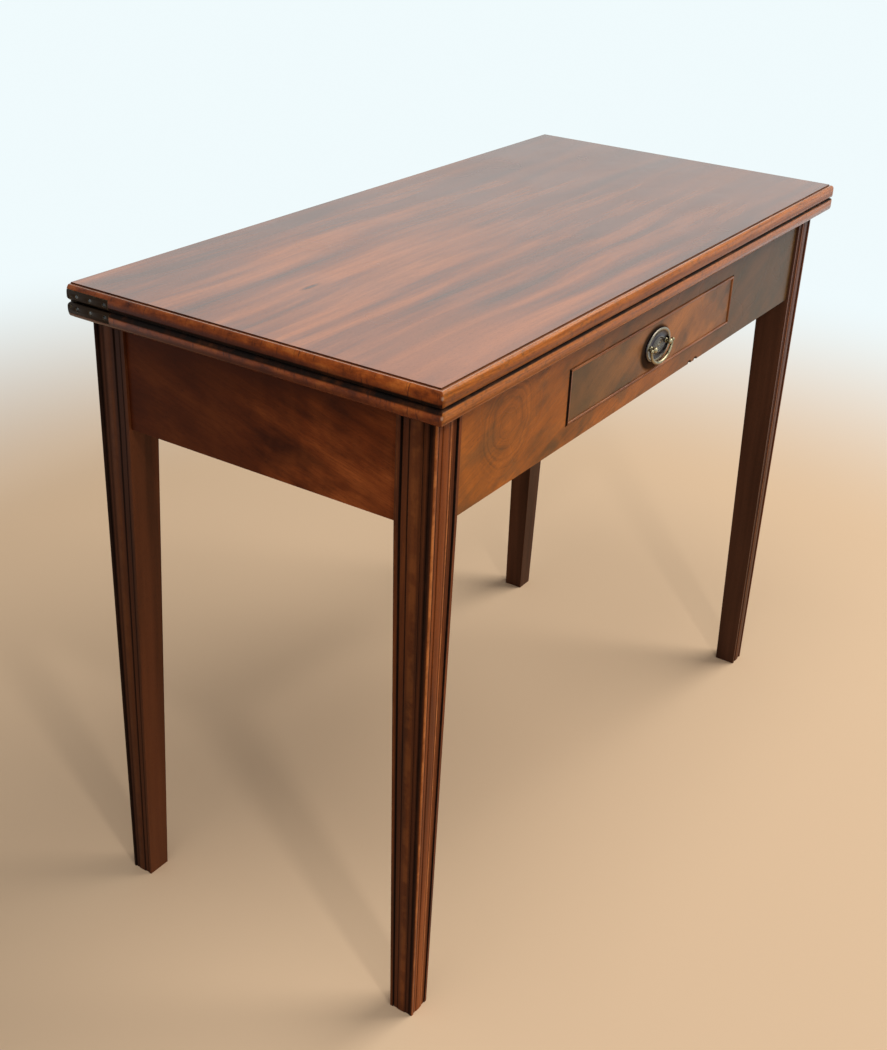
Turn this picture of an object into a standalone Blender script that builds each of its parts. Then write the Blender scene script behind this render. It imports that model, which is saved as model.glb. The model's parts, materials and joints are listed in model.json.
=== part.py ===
"""Mahogany fold-over tea table: two hinged leaves on a frame with one drawer and one swinging leg.

+X runs to the right along the front, +Y to the back and +Z up, in metres.
The origin is on the floor under the middle of the top.
"""
import math

import bmesh
import bpy
from mathutils import Matrix, Vector

# Fits, and counts of facets
GAP = 0.0003
RUNNING_GAP = 0.0008
OVERRUN = 0.004
WELD = 0.00001
ROUND_SEGMENTS = 32
SMALL_ROUND_SEGMENTS = 20
ARC_STEPS = 8

# Top: two equal leaves, moulded on the front and both ends
TOP_WIDTH = 0.915
TOP_DEPTH = 0.430
TOP_HEIGHT = 0.717
LEAF_THICKNESS = 0.0171
FIELD_INSET = 0.0060
FIELD_STEP = 0.0014
FIELD_LEDGE = 0.0018
EDGE_FLAT = 0.0024
CORNER_RADIUS = 0.0050
LIP_RADIUS = 0.0048
HINGE_ROUND = 0.0045
REAR_EASE = 0.0010

# Legs: square, tapered on their inner faces, moulded on their outer faces
LEG_SIZE = 0.0405
FOOT_SIZE = 0.0275
END_OVERHANG = 0.0190
FRONT_OVERHANG = 0.0180
REAR_OVERHANG = 0.0115
LEG_QUIRK_DEPTH = 0.0019
LEG_STRIP_DEPTH = 0.0012
LEG_CENTRE_DEPTH = 0.0003
LEG_FILLET_SHARE = 0.125
LEG_QUIRK_SHARE = 0.155
LEG_STRIP_SHARE = 0.315
LEG_CENTRE_SHARE = 0.335
LEG_CROWN_SHARE = 0.5
LEG_ARRIS_SHARE = 0.055

# Rails, their tenons and the wooden knuckle joint
RAIL_HEIGHT = 0.1092
RAIL_SETBACK = 0.0030
FRONT_RAIL_THICKNESS = 0.0200
END_RAIL_THICKNESS = 0.0200
BACK_RAIL_THICKNESS = 0.0180
FLY_RAIL_THICKNESS = 0.0240
TENON_THICKNESS = 0.0080
TENON_LENGTH = 0.0180
TENON_SHOULDER = 0.0120
REBATE_WALL = 0.0110
KNUCKLE_X = 0.0
KNUCKLE_FINGER_COUNT = 5
KNUCKLE_PIN_RADIUS = 0.0030
KNUCKLE_PIN_PROUD = 0.0020

# Drawer, with lipped dovetails and a bead round its front
OPENING_WIDTH = 0.3970
OPENING_HEIGHT = 0.0600
OPENING_ABOVE_RAIL = 0.0205
DRAWER_BACK_CLEARANCE = 0.0172
DRAWER_FRONT_THICKNESS = 0.0200
DRAWER_SIDE_THICKNESS = 0.0080
DRAWER_BACK_THICKNESS = 0.0090
DRAWER_SIDE_DROP = 0.0006
DRAWER_BACK_DROP = 0.0040
DOVETAIL_LAP = 0.0080
FRONT_TAIL_COUNT = 3
BACK_TAIL_COUNT = 2
TAIL_ROOT_SHARE = 0.56
TAIL_END_SHARE = 0.76
BOTTOM_THICKNESS = 0.0060
BOTTOM_LIFT = 0.0060
GROOVE_DEPTH = 0.0040
BEAD_THICKNESS = 0.0028
BEAD_DEPTH = 0.0060
BEAD_PROUD = 0.0014
BEAD_NOSE = 0.0010

# What the drawer runs on
RUNNER_WIDTH = 0.0300
RUNNER_HEIGHT = 0.0160
GUIDE_WIDTH = 0.0140
GUIDE_HEIGHT = 0.0200
KICKER_HEIGHT = 0.0180
HOUSING_DEPTH = 0.0040
STOP_LENGTH = 0.0120
STOP_HEIGHT = 0.0100
BLOCK_SIZE = 0.0200
BLOCK_LENGTH = 0.0700
BLOCK_PLACE_SHARE = 0.72

# Hinges let into the ends of the leaves
PLATE_LENGTH = 0.0540
PLATE_HEIGHT = 0.0115
PLATE_THICKNESS = 0.0040
KNUCKLE_BLOCK_LENGTH = 0.0130
KNUCKLE_BLOCK_THICKNESS = 0.0080
LINK_DEPTH = 0.0036
LINK_THICKNESS = 0.0020
LINK_RADIUS = 0.0034
HINGE_PIN_RADIUS = 0.0012

# Handle on the drawer
HANDLE_SPACING = 0.0370
PIVOT_STANDOFF = 0.0062
PLATE_HALF_WIDTH = 0.0294
PLATE_HALF_HEIGHT = 0.0188
STAMPING_BASE = 0.0009
STAMPING_RIM = 0.0022
STAMPING_RING = 0.0019
STAMPING_BOSS = 0.0024
STAMPING_EDGE = 0.0006
POST_RADIUS = 0.0017
POST_HEAD_RADIUS = 0.0033
POST_COLLAR_RADIUS = 0.0026
POST_PROUD = 0.0015
NUT_RADIUS = 0.0042
NUT_THICKNESS = 0.0030
BAIL_HALF_WIDTH = 0.0260
BAIL_DROP = 0.0190
BAIL_RADIUS = 0.0016
BAIL_BALL_RADIUS = 0.0023
BAIL_PIN_RADIUS = 0.0009
BAIL_POINT_COUNT = 22

# Places worked out from the sizes
HALF_WIDTH = TOP_WIDTH / 2
HALF_DEPTH = TOP_DEPTH / 2
MEETING_HEIGHT = TOP_HEIGHT - LEAF_THICKNESS - GAP / 2
UNDERSIDE = MEETING_HEIGHT - GAP / 2 - LEAF_THICKNESS
FRAME_TOP = UNDERSIDE - GAP
RAIL_BOTTOM = FRAME_TOP - RAIL_HEIGHT
LEG_X = HALF_WIDTH - END_OVERHANG
LEG_FRONT = -HALF_DEPTH + FRONT_OVERHANG
LEG_REAR = HALF_DEPTH - REAR_OVERHANG
RAIL_FACE = LEG_FRONT + RAIL_SETBACK
END_FACE = LEG_X - RAIL_SETBACK
FLY_RAIL_BACK = LEG_REAR - RAIL_SETBACK
FLY_RAIL_FRONT = FLY_RAIL_BACK - FLY_RAIL_THICKNESS
BACK_RAIL_BACK = FLY_RAIL_FRONT - GAP
BACK_RAIL_FRONT = BACK_RAIL_BACK - BACK_RAIL_THICKNESS
KNUCKLE_Y = (FLY_RAIL_FRONT + FLY_RAIL_BACK) / 2
KNUCKLE_RADIUS = FLY_RAIL_THICKNESS / 2
OPENING_LOW = RAIL_BOTTOM + OPENING_ABOVE_RAIL
OPENING_HIGH = OPENING_LOW + OPENING_HEIGHT
DRAWER_HALF = OPENING_WIDTH / 2 - RUNNING_GAP
DRAWER_LOW = OPENING_LOW + RUNNING_GAP
DRAWER_HIGH = OPENING_HIGH - RUNNING_GAP
DRAWER_FACE = RAIL_FACE
DRAWER_INSIDE_FRONT = DRAWER_FACE + DRAWER_FRONT_THICKNESS
DRAWER_END = BACK_RAIL_FRONT - DRAWER_BACK_CLEARANCE
DRAWER_SIDE_HIGH = DRAWER_HIGH - DRAWER_SIDE_DROP
DRAWER_BACK_LOW = DRAWER_LOW + BOTTOM_LIFT + BOTTOM_THICKNESS
DRAWER_BACK_HIGH = DRAWER_SIDE_HIGH - DRAWER_BACK_DROP
RUNNER_TOP = DRAWER_LOW - GAP
RUNNER_X = OPENING_WIDTH / 2
KICKER_LOW = OPENING_HIGH + GAP
PIN_Y = HALF_DEPTH - HINGE_ROUND
PIN_RISE = HINGE_ROUND + GAP / 2
HANDLE_HEIGHT = (OPENING_LOW + OPENING_HIGH) / 2
PIVOT_Y = DRAWER_FACE - PIVOT_STANDOFF

# Colours, each with its roughness and metallic value
FINISHES = {
    "mahogany_top": ((0.30, 0.15, 0.085), 0.32, 0.0),
    "mahogany_frieze": ((0.34, 0.145, 0.055), 0.35, 0.0),
    "mahogany_leg": ((0.13, 0.045, 0.022), 0.36, 0.0),
    "oak": ((0.36, 0.24, 0.13), 0.65, 0.0),
    "brass": ((0.46, 0.36, 0.17), 0.34, 1.0),
    "bronze": ((0.16, 0.12, 0.08), 0.45, 1.0),
    "iron": ((0.16, 0.15, 0.14), 0.55, 1.0),
}


def clear_scene():
    """Empty the scene that the script starts in."""
    for obj in list(bpy.data.objects):
        bpy.data.objects.remove(obj, do_unlink=True)


def collection(name):
    """A new collection in the scene."""
    group = bpy.data.collections.new(name)
    bpy.context.scene.collection.children.link(group)
    return group


def finish(name):
    """The material of that name, made when it is first asked for."""
    material = bpy.data.materials.get(name)
    if material is None:
        colour, roughness, metallic = FINISHES[name]
        material = bpy.data.materials.new(name)
        material.use_nodes = True
        shader = material.node_tree.nodes["Principled BSDF"]
        shader.inputs["Base Color"].default_value = (*colour, 1.0)
        shader.inputs["Roughness"].default_value = roughness
        shader.inputs["Metallic"].default_value = metallic
        material.diffuse_color = (*colour, 1.0)
    return material


def axis_empty(name, place):
    """An empty on a joint's axis, which carries the pieces that move on it."""
    empty = bpy.data.objects.new(name, None)
    empty.location = place
    PARTS.objects.link(empty)
    return empty


def add_part(name, mesh, material, carrier=None):
    """A named piece from a mesh in world places, with its origin in the middle of its bounds."""
    corners = [vertex.co for vertex in mesh.vertices]
    low = Vector([min(corner[axis] for corner in corners) for axis in range(3)])
    high = Vector([max(corner[axis] for corner in corners) for axis in range(3)])
    middle = (low + high) / 2
    mesh.transform(Matrix.Translation(-middle))
    return place_part(name, mesh, material, middle, carrier)


def place_part(name, mesh, material, place, carrier=None):
    """A named piece whose mesh is already about its own origin."""
    obj = bpy.data.objects.new(name, mesh)
    obj.location = place
    if carrier:
        obj.parent = carrier
        obj.location = Vector(place) - carrier.location
    mesh.materials.clear()
    mesh.materials.append(finish(material))
    PARTS.objects.link(obj)
    return obj


def combine(obj, mesh, operation):
    """Cut, join or intersect a piece with a mesh given in the same places."""
    tool = bpy.data.objects.new(f"{obj.name}_{operation.lower()}", mesh)
    TOOLS.objects.link(tool)
    tool.hide_render = True
    tool.display_type = "WIRE"
    modifier = obj.modifiers.new(operation.lower(), "BOOLEAN")
    modifier.operation = operation
    modifier.object = tool


def cut(obj, *meshes):
    """Take the meshes away from a piece."""
    for mesh in meshes:
        combine(obj, mesh, "DIFFERENCE")


def join(obj, *meshes):
    """Make the meshes one body with a piece."""
    for mesh in meshes:
        combine(obj, mesh, "UNION")


def mesh_from(bm, name):
    """A mesh with its faces pointing out, from a bmesh that is then freed."""
    bmesh.ops.recalc_face_normals(bm, faces=bm.faces[:])
    mesh = bpy.data.meshes.new(name)
    bm.to_mesh(mesh)
    bm.free()
    return mesh


def box(low, high):
    """A box between two corners."""
    low, high = Vector(low), Vector(high)
    bm = bmesh.new()
    bmesh.ops.create_cube(bm, size=1.0)
    bmesh.ops.scale(bm, vec=high - low, verts=bm.verts[:])
    bmesh.ops.translate(bm, vec=(low + high) / 2, verts=bm.verts[:])
    return mesh_from(bm, "box")


def grown(low, high, margin=GAP):
    """The corners of a box, moved out by a margin."""
    return [value - margin for value in low], [value + margin for value in high]


def rod(start, end, radius, segments=ROUND_SEGMENTS):
    """A solid cylinder between two points."""
    start, end = Vector(start), Vector(end)
    bm = bmesh.new()
    bmesh.ops.create_cone(bm, cap_ends=True, segments=segments, radius1=radius, radius2=radius,
                          depth=(end - start).length)
    turn = Vector((0, 0, 1)).rotation_difference(end - start).to_matrix().to_4x4()
    bmesh.ops.transform(bm, matrix=Matrix.Translation((start + end) / 2) @ turn, verts=bm.verts[:])
    mesh = mesh_from(bm, "rod")
    mesh.shade_smooth()
    mesh.set_sharp_from_angle(angle=math.radians(40))
    return mesh


def ball(place, radius):
    """A sphere."""
    bm = bmesh.new()
    bmesh.ops.create_uvsphere(bm, u_segments=SMALL_ROUND_SEGMENTS, v_segments=SMALL_ROUND_SEGMENTS // 2,
                              radius=radius, matrix=Matrix.Translation(place))
    mesh = mesh_from(bm, "ball")
    mesh.shade_smooth()
    return mesh


def settled_mesh(obj):
    """The finished mesh of a helper object, which is then removed."""
    bpy.context.scene.collection.objects.link(obj)
    bpy.context.view_layer.update()
    graph = bpy.context.evaluated_depsgraph_get()
    mesh = bpy.data.meshes.new_from_object(obj.evaluated_get(graph))
    bpy.data.objects.remove(obj, do_unlink=True)
    bm = bmesh.new()
    bm.from_mesh(mesh)
    bmesh.ops.remove_doubles(bm, verts=bm.verts[:], dist=WELD)
    bpy.data.meshes.remove(mesh)
    return mesh_from(bm, "settled")


PLANES = {
    "XY": Matrix(((1, 0, 0), (0, 1, 0), (0, 0, 1))),
    "YZ": Matrix(((0, 0, 1), (1, 0, 0), (0, 1, 0))),
    "XZ": Matrix(((1, 0, 0), (0, 0, -1), (0, 1, 0))),
}


def slab(loops, plane, start, end):
    """A flat outline in a plane, with any holes, made solid along the third axis from start to end."""
    curve = bpy.data.curves.new("outline", "CURVE")
    curve.dimensions = "2D"
    curve.fill_mode = "BOTH"
    curve.extrude = (end - start) / 2
    for loop in loops:
        spline = curve.splines.new("POLY")
        spline.points.add(len(loop) - 1)
        for point, (across, up) in zip(spline.points, loop):
            point.co = (across, up, 0, 1)
        spline.use_cyclic_u = True
    mesh = settled_mesh(bpy.data.objects.new("outline", curve))
    turn = PLANES[plane]
    normal = turn @ Vector((0, 0, 1))
    middle = Vector([abs(part) * (start + end) / 2 for part in normal])
    mesh.transform(Matrix.Translation(middle) @ turn.to_4x4())
    return mesh


def turned(profile, segments):
    """A solid turned about Z from (radius, height) points that run from its top to its bottom."""
    mesh = bpy.data.meshes.new("profile")
    mesh.from_pydata([(radius, 0, height) for radius, height in profile],
                     [(index, index + 1) for index in range(len(profile) - 1)], [])
    obj = bpy.data.objects.new("profile", mesh)
    screw = obj.modifiers.new("turn", "SCREW")
    screw.steps = segments
    screw.render_steps = segments
    screw.use_merge_vertices = True
    screw.merge_threshold = WELD
    solid = settled_mesh(obj)
    solid.shade_smooth()
    solid.set_sharp_from_angle(angle=math.radians(40))
    return solid


def edge_profile():
    """The moulded edge as (inset, rise) points from the meeting face to the outer face."""
    lip = [(LIP_RADIUS * (1 - math.sin(angle)), LIP_RADIUS * (1 - math.cos(angle)))
           for angle in quarter_angles()]
    ovolo_low = LIP_RADIUS + EDGE_FLAT
    ovolo_rise = LEAF_THICKNESS - FIELD_STEP - ovolo_low
    ovolo_in = FIELD_INSET - FIELD_LEDGE
    ovolo = [(ovolo_in * (1 - math.cos(angle)), ovolo_low + ovolo_rise * math.sin(angle))
             for angle in quarter_angles()]
    step = [(FIELD_INSET, LEAF_THICKNESS - FIELD_STEP), (FIELD_INSET, LEAF_THICKNESS)]
    return lip + ovolo + step


def quarter_angles():
    """Angles through a quarter turn."""
    return [math.pi / 2 * step / ARC_STEPS for step in range(ARC_STEPS + 1)]


def leaf_solid(level, way):
    """Two solids that meet in a leaf: its section from front to back, and its section from end to end."""
    front = [(-HALF_DEPTH + inset, rise) for inset, rise in edge_profile()]
    rear = [(HALF_DEPTH - REAR_EASE, LEAF_THICKNESS), (HALF_DEPTH, LEAF_THICKNESS - REAR_EASE)]
    rear += [(HALF_DEPTH - HINGE_ROUND * (1 - math.cos(angle)), HINGE_ROUND * (1 - math.sin(angle)))
             for angle in quarter_angles()]
    right = [(HALF_WIDTH - inset, rise) for inset, rise in edge_profile()]
    left = [(-across, rise) for across, rise in reversed(right)]
    solids = (slab([front + rear], "YZ", -HALF_WIDTH - OVERRUN, HALF_WIDTH + OVERRUN),
              slab([right + left], "XZ", -HALF_DEPTH - OVERRUN, HALF_DEPTH + OVERRUN))
    for solid in solids:
        solid.transform(Matrix.Translation((0, 0, level)) @ Matrix.Diagonal((1, 1, way, 1)))
        if way < 0:
            solid.flip_normals()
    return solids


def leaf_plan(level, way):
    """A solid with the leaf's outline from above, which rounds its two front corners."""
    right, front = HALF_WIDTH - CORNER_RADIUS, -HALF_DEPTH + CORNER_RADIUS
    corner = [(right + CORNER_RADIUS * math.cos(angle), front - CORNER_RADIUS * math.sin(angle))
              for angle in quarter_angles()]
    outline = [(HALF_WIDTH, HALF_DEPTH + OVERRUN)] + corner
    outline += [(-across, along) for across, along in reversed(outline)]
    low, high = sorted((level - way * OVERRUN, level + way * (LEAF_THICKNESS + OVERRUN)))
    return slab([outline], "XY", low, high)


def hinge_boxes(side, level, way):
    """Corners of a hinge plate and of its knuckle block, before they are shaped to the moulding."""
    boxes = []
    for length, thickness in ((PLATE_LENGTH, PLATE_THICKNESS), (KNUCKLE_BLOCK_LENGTH, KNUCKLE_BLOCK_THICKNESS)):
        across = sorted((side * (HALF_WIDTH - thickness), side * (HALF_WIDTH + OVERRUN)))
        up = sorted((level - way * OVERRUN, level + way * PLATE_HEIGHT))
        boxes.append(((across[0], HALF_DEPTH - length, up[0]), (across[1], HALF_DEPTH + OVERRUN, up[1])))
    return boxes


def make_leaf(name, level, way, carrier):
    """A leaf with recesses for its two hinge plates."""
    body, ends = leaf_solid(level, way)
    leaf = add_part(name, body, "mahogany_top", carrier)
    combine(leaf, ends, "INTERSECT")
    combine(leaf, leaf_plan(level, way), "INTERSECT")
    for side in (-1, 1):
        for low, high in hinge_boxes(side, level, way):
            cut(leaf, box(*grown(low, high)))


def make_hinge_plate(name, side, level, way, carrier):
    """A brass plate let into the leaf's end and filed to its moulding, slotted for the link."""
    (plate_low, plate_high), (block_low, block_high) = hinge_boxes(side, level, way)
    plate = add_part(name, box(plate_low, plate_high), "bronze", carrier)
    join(plate, box(block_low, block_high))
    for solid in leaf_solid(level, way):
        combine(plate, solid, "INTERSECT")
    pin_height = level + way * HINGE_ROUND
    reach = LINK_RADIUS + GAP
    across = sorted((side * (HALF_WIDTH - LINK_DEPTH + GAP),
                     side * (HALF_WIDTH - LINK_DEPTH - LINK_THICKNESS - GAP)))
    up = sorted((pin_height + way * reach, level - way * OVERRUN))
    cut(plate, box((across[0], PIN_Y - reach, up[0]), (across[1], HALF_DEPTH + OVERRUN, up[1])))
    cut(plate, rod((side * (HALF_WIDTH - KNUCKLE_BLOCK_THICKNESS - OVERRUN), PIN_Y, pin_height),
                   (side * (HALF_WIDTH + OVERRUN), PIN_Y, pin_height),
                   HINGE_PIN_RADIUS + GAP, SMALL_ROUND_SEGMENTS))


def make_hinge_pin(name, side, height, carrier):
    """A pin riveted through a plate's knuckle block."""
    add_part(name, rod((side * (HALF_WIDTH - KNUCKLE_BLOCK_THICKNESS), PIN_Y, height),
                       (side * HALF_WIDTH, PIN_Y, height), HINGE_PIN_RADIUS, SMALL_ROUND_SEGMENTS),
             "bronze", carrier)


def make_hinge_link(name, side, carrier):
    """The hidden link between the two pins: a bar with round ends and two holes."""
    low, high = MEETING_HEIGHT - PIN_RISE, MEETING_HEIGHT + PIN_RISE
    bar = []
    for centre, start in ((low, math.pi), (high, 0)):
        for step in range(2 * ARC_STEPS + 1):
            angle = start + math.pi * step / (2 * ARC_STEPS)
            bar.append((PIN_Y + LINK_RADIUS * math.cos(angle), centre + LINK_RADIUS * math.sin(angle)))
    across = sorted((side * (HALF_WIDTH - LINK_DEPTH), side * (HALF_WIDTH - LINK_DEPTH - LINK_THICKNESS)))
    holes = [ring(PIN_Y, centre, HINGE_PIN_RADIUS + GAP) for centre in (low, high)]
    add_part(name, slab([bar] + holes, "YZ", *across), "bronze", carrier)


def ring(across, up, radius):
    """Points on a circle."""
    return [(across + radius * math.cos(2 * math.pi * step / SMALL_ROUND_SEGMENTS),
             up + radius * math.sin(2 * math.pi * step / SMALL_ROUND_SEGMENTS))
            for step in range(SMALL_ROUND_SEGMENTS)]


def make_top(links, leaf_axis):
    """Both leaves and the pair of link hinges."""
    for name, level, way, carrier in (("lower_leaf", MEETING_HEIGHT - GAP / 2, -1, None),
                                      ("upper_leaf", MEETING_HEIGHT + GAP / 2, 1, leaf_axis)):
        make_leaf(name, level, way, carrier)
        for end, side in (("left", -1), ("right", 1)):
            make_hinge_plate(f"{name}_hinge_plate_{end}", side, level, way, carrier)
            make_hinge_pin(f"{name}_hinge_pin_{end}", side, level + way * HINGE_ROUND, carrier)
    for end, side in (("left", -1), ("right", 1)):
        make_hinge_link(f"hinge_link_{end}", side, links)


def face_moulding():
    """One moulded leg face as (distance from the outer arris, depth) points."""
    half = [(LEG_ARRIS_SHARE, 0), (LEG_FILLET_SHARE, 0), (LEG_FILLET_SHARE, LEG_QUIRK_DEPTH),
            (LEG_QUIRK_SHARE, LEG_QUIRK_DEPTH), (LEG_QUIRK_SHARE, LEG_STRIP_DEPTH),
            (LEG_STRIP_SHARE, LEG_STRIP_DEPTH), (LEG_CENTRE_SHARE, LEG_CENTRE_DEPTH)]
    far = [(1 - share, depth) for share, depth in reversed(half[1:])]
    points = half + [(LEG_CROWN_SHARE, 0)] + far + [(1, 0)]
    return [(share * LEG_SIZE, depth) for share, depth in points]


def leg_outline():
    """The leg's section about its outer arris, with the leg towards +X and +Y."""
    along = face_moulding()
    arris = LEG_ARRIS_SHARE * LEG_SIZE
    nose = [(arris * (1 - math.sin(angle)), arris * (1 - math.cos(angle))) for angle in quarter_angles()[1:-1]]
    return ([(distance, depth) for distance, depth in along] + [(LEG_SIZE, LEG_SIZE)]
            + [(depth, distance) for distance, depth in reversed(along)] + list(reversed(nose)))


def leg_mesh(side, row):
    """A leg about its outer arris on the floor: straight to the rail's bottom, then tapered to the foot."""
    bm = bmesh.new()
    section = bm.faces.new([bm.verts.new((-side * across, -row * along, FRAME_TOP))
                            for across, along in leg_outline()])
    straight = bmesh.ops.extrude_face_region(bm, geom=[section])
    lower = [item for item in straight["geom"] if isinstance(item, bmesh.types.BMVert)]
    bmesh.ops.translate(bm, vec=(0, 0, -RAIL_HEIGHT), verts=lower)
    middle = [item for item in straight["geom"] if isinstance(item, bmesh.types.BMFace)]
    tapered = bmesh.ops.extrude_face_region(bm, geom=middle)
    bmesh.ops.delete(bm, geom=middle, context="FACES_ONLY")
    foot = [item for item in tapered["geom"] if isinstance(item, bmesh.types.BMVert)]
    bmesh.ops.translate(bm, vec=(0, 0, -RAIL_BOTTOM), verts=foot)
    bmesh.ops.scale(bm, vec=(FOOT_SIZE / LEG_SIZE, FOOT_SIZE / LEG_SIZE, 1), verts=foot)
    return mesh_from(bm, "leg")


def make_leg(name, side, row, carrier=None):
    """One leg with its outer arris at a corner of the frame."""
    along = LEG_FRONT if row < 0 else LEG_REAR
    return place_part(name, leg_mesh(side, row), "mahogany_leg", (side * LEG_X, along, 0), carrier)


def end_tenon(side, start, way):
    """Corners of an end rail's tenon, from its shoulder into a leg."""
    centre = side * (END_FACE - END_RAIL_THICKNESS / 2)
    along = sorted((start - way * OVERRUN, start + way * TENON_LENGTH))
    return ((centre - TENON_THICKNESS / 2, along[0], RAIL_BOTTOM + TENON_SHOULDER),
            (centre + TENON_THICKNESS / 2, along[1], FRAME_TOP - TENON_SHOULDER))


def cross_tenon(side, centre, shoulder):
    """Corners of a front or back rail's tenon, from its shoulder into a leg."""
    across = sorted((side * (shoulder - OVERRUN), side * (shoulder + TENON_LENGTH)))
    return ((across[0], centre - TENON_THICKNESS / 2, RAIL_BOTTOM + TENON_SHOULDER),
            (across[1], centre + TENON_THICKNESS / 2, FRAME_TOP - TENON_SHOULDER))


def make_frame_legs():
    """The three fixed legs, mortised for the rails."""
    shoulder = LEG_X - LEG_SIZE - GAP
    for end, side in (("left", -1), ("right", 1)):
        leg = make_leg(f"front_leg_{end}", side, -1)
        cut(leg, box(*grown(*cross_tenon(side, RAIL_FACE + FRONT_RAIL_THICKNESS / 2, shoulder))),
            box(*grown(*end_tenon(side, LEG_FRONT + LEG_SIZE + GAP, -1))))
    leg = make_leg("rear_leg_right", 1, 1)
    cut(leg, box(*grown(*cross_tenon(1, (BACK_RAIL_FRONT + BACK_RAIL_BACK) / 2, shoulder))),
        box(*grown(*end_tenon(1, LEG_REAR - LEG_SIZE - GAP, 1))))


def make_front_rail():
    """The front rail: one board with the drawer's opening, a tenon at each end and housings inside."""
    shoulder = LEG_X - LEG_SIZE - GAP
    back = RAIL_FACE + FRONT_RAIL_THICKNESS
    rail = add_part("front_rail", box((-shoulder, RAIL_FACE, RAIL_BOTTOM), (shoulder, back, FRAME_TOP)),
                    "mahogany_frieze")
    for side in (-1, 1):
        join(rail, box(*cross_tenon(side, RAIL_FACE + FRONT_RAIL_THICKNESS / 2, shoulder)))
    cut(rail, box((-OPENING_WIDTH / 2, RAIL_FACE - OVERRUN, OPENING_LOW),
                  (OPENING_WIDTH / 2, back + OVERRUN, OPENING_HIGH)))
    for side in (-1, 1):
        cut(rail, *[box(*grown(*corners)) for corners in (runner_corners(side), kicker_corners(side))])


def make_end_rails():
    """The end rails. The left one passes behind the swinging leg's rebate, the right one has two tenons."""
    front = LEG_FRONT + LEG_SIZE + GAP
    rear = LEG_REAR - LEG_SIZE - GAP
    for end, side in (("left", -1), ("right", 1)):
        across = sorted((side * END_FACE, side * (END_FACE - END_RAIL_THICKNESS)))
        rail = add_part(f"end_rail_{end}", box((across[0], front, RAIL_BOTTOM), (across[1], rear, FRAME_TOP)),
                        "mahogany_frieze")
        join(rail, box(*end_tenon(side, front, -1)))
        if side > 0:
            join(rail, box(*end_tenon(side, rear, 1)))
        else:
            join(rail, box((-LEG_X + REBATE_WALL + GAP, rear - OVERRUN, RAIL_BOTTOM),
                           (across[1], BACK_RAIL_BACK, FRAME_TOP)))
            cut(rail, box(*grown(*back_rail_tongue())))


def back_rail_tongue():
    """Corners of the tongue that holds the inner back rail in the left end rail."""
    inner = -END_FACE + END_RAIL_THICKNESS
    centre = (BACK_RAIL_FRONT + BACK_RAIL_BACK) / 2
    return ((inner - TENON_THICKNESS, centre - TENON_THICKNESS / 2, RAIL_BOTTOM + TENON_SHOULDER),
            (inner + OVERRUN, centre + TENON_THICKNESS / 2, FRAME_TOP - TENON_SHOULDER))


def make_back_rail():
    """The fixed inner back rail of oak."""
    left = -END_FACE + END_RAIL_THICKNESS + GAP
    right = LEG_X - LEG_SIZE - GAP
    rail = add_part("inner_back_rail", box((left, BACK_RAIL_FRONT, RAIL_BOTTOM), (right, BACK_RAIL_BACK, FRAME_TOP)),
                    "oak")
    join(rail, box(*cross_tenon(1, (BACK_RAIL_FRONT + BACK_RAIL_BACK) / 2, right)), box(*back_rail_tongue()))
    for side in (-1, 1):
        cut(rail, *[box(*grown(*corners)) for corners in (runner_corners(side), kicker_corners(side))])


def knuckle_rail(way, end):
    """Half of the outer back rail: pointed at 45 degrees towards the pin, so that it turns a quarter."""
    tip = KNUCKLE_X + way * GAP
    shoulder = tip + way * KNUCKLE_RADIUS
    outline = [(tip, KNUCKLE_Y), (shoulder, FLY_RAIL_FRONT), (end, FLY_RAIL_FRONT), (end, FLY_RAIL_BACK),
               (shoulder, FLY_RAIL_BACK)]
    return slab([outline], "XY", RAIL_BOTTOM, FRAME_TOP)


def finger_levels(parity):
    """Heights of the knuckle's fingers that belong to one half."""
    pitch = RAIL_HEIGHT / KNUCKLE_FINGER_COUNT
    return [(RAIL_BOTTOM + index * pitch, RAIL_BOTTOM + (index + 1) * pitch)
            for index in range(KNUCKLE_FINGER_COUNT) if index % 2 == parity]


def make_knuckle_half(name, way, end, parity, carrier=None):
    """A rail half with round fingers on its own levels, and hollows round the other half's fingers."""
    rail = add_part(name, knuckle_rail(way, end), "oak", carrier)
    for low, high in finger_levels(1 - parity):
        low = low if low > RAIL_BOTTOM + GAP else low - OVERRUN
        high = high if high < FRAME_TOP - GAP else high + OVERRUN
        cut(rail, rod((KNUCKLE_X, KNUCKLE_Y, low), (KNUCKLE_X, KNUCKLE_Y, high), KNUCKLE_RADIUS + GAP))
    for low, high in finger_levels(parity):
        low = low + GAP if low > RAIL_BOTTOM + GAP else low
        high = high - GAP if high < FRAME_TOP - GAP else high
        join(rail, rod((KNUCKLE_X, KNUCKLE_Y, low), (KNUCKLE_X, KNUCKLE_Y, high), KNUCKLE_RADIUS))
    cut(rail, rod((KNUCKLE_X, KNUCKLE_Y, RAIL_BOTTOM - OVERRUN), (KNUCKLE_X, KNUCKLE_Y, FRAME_TOP + OVERRUN),
                  KNUCKLE_PIN_RADIUS + GAP, SMALL_ROUND_SEGMENTS))
    return rail


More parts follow.
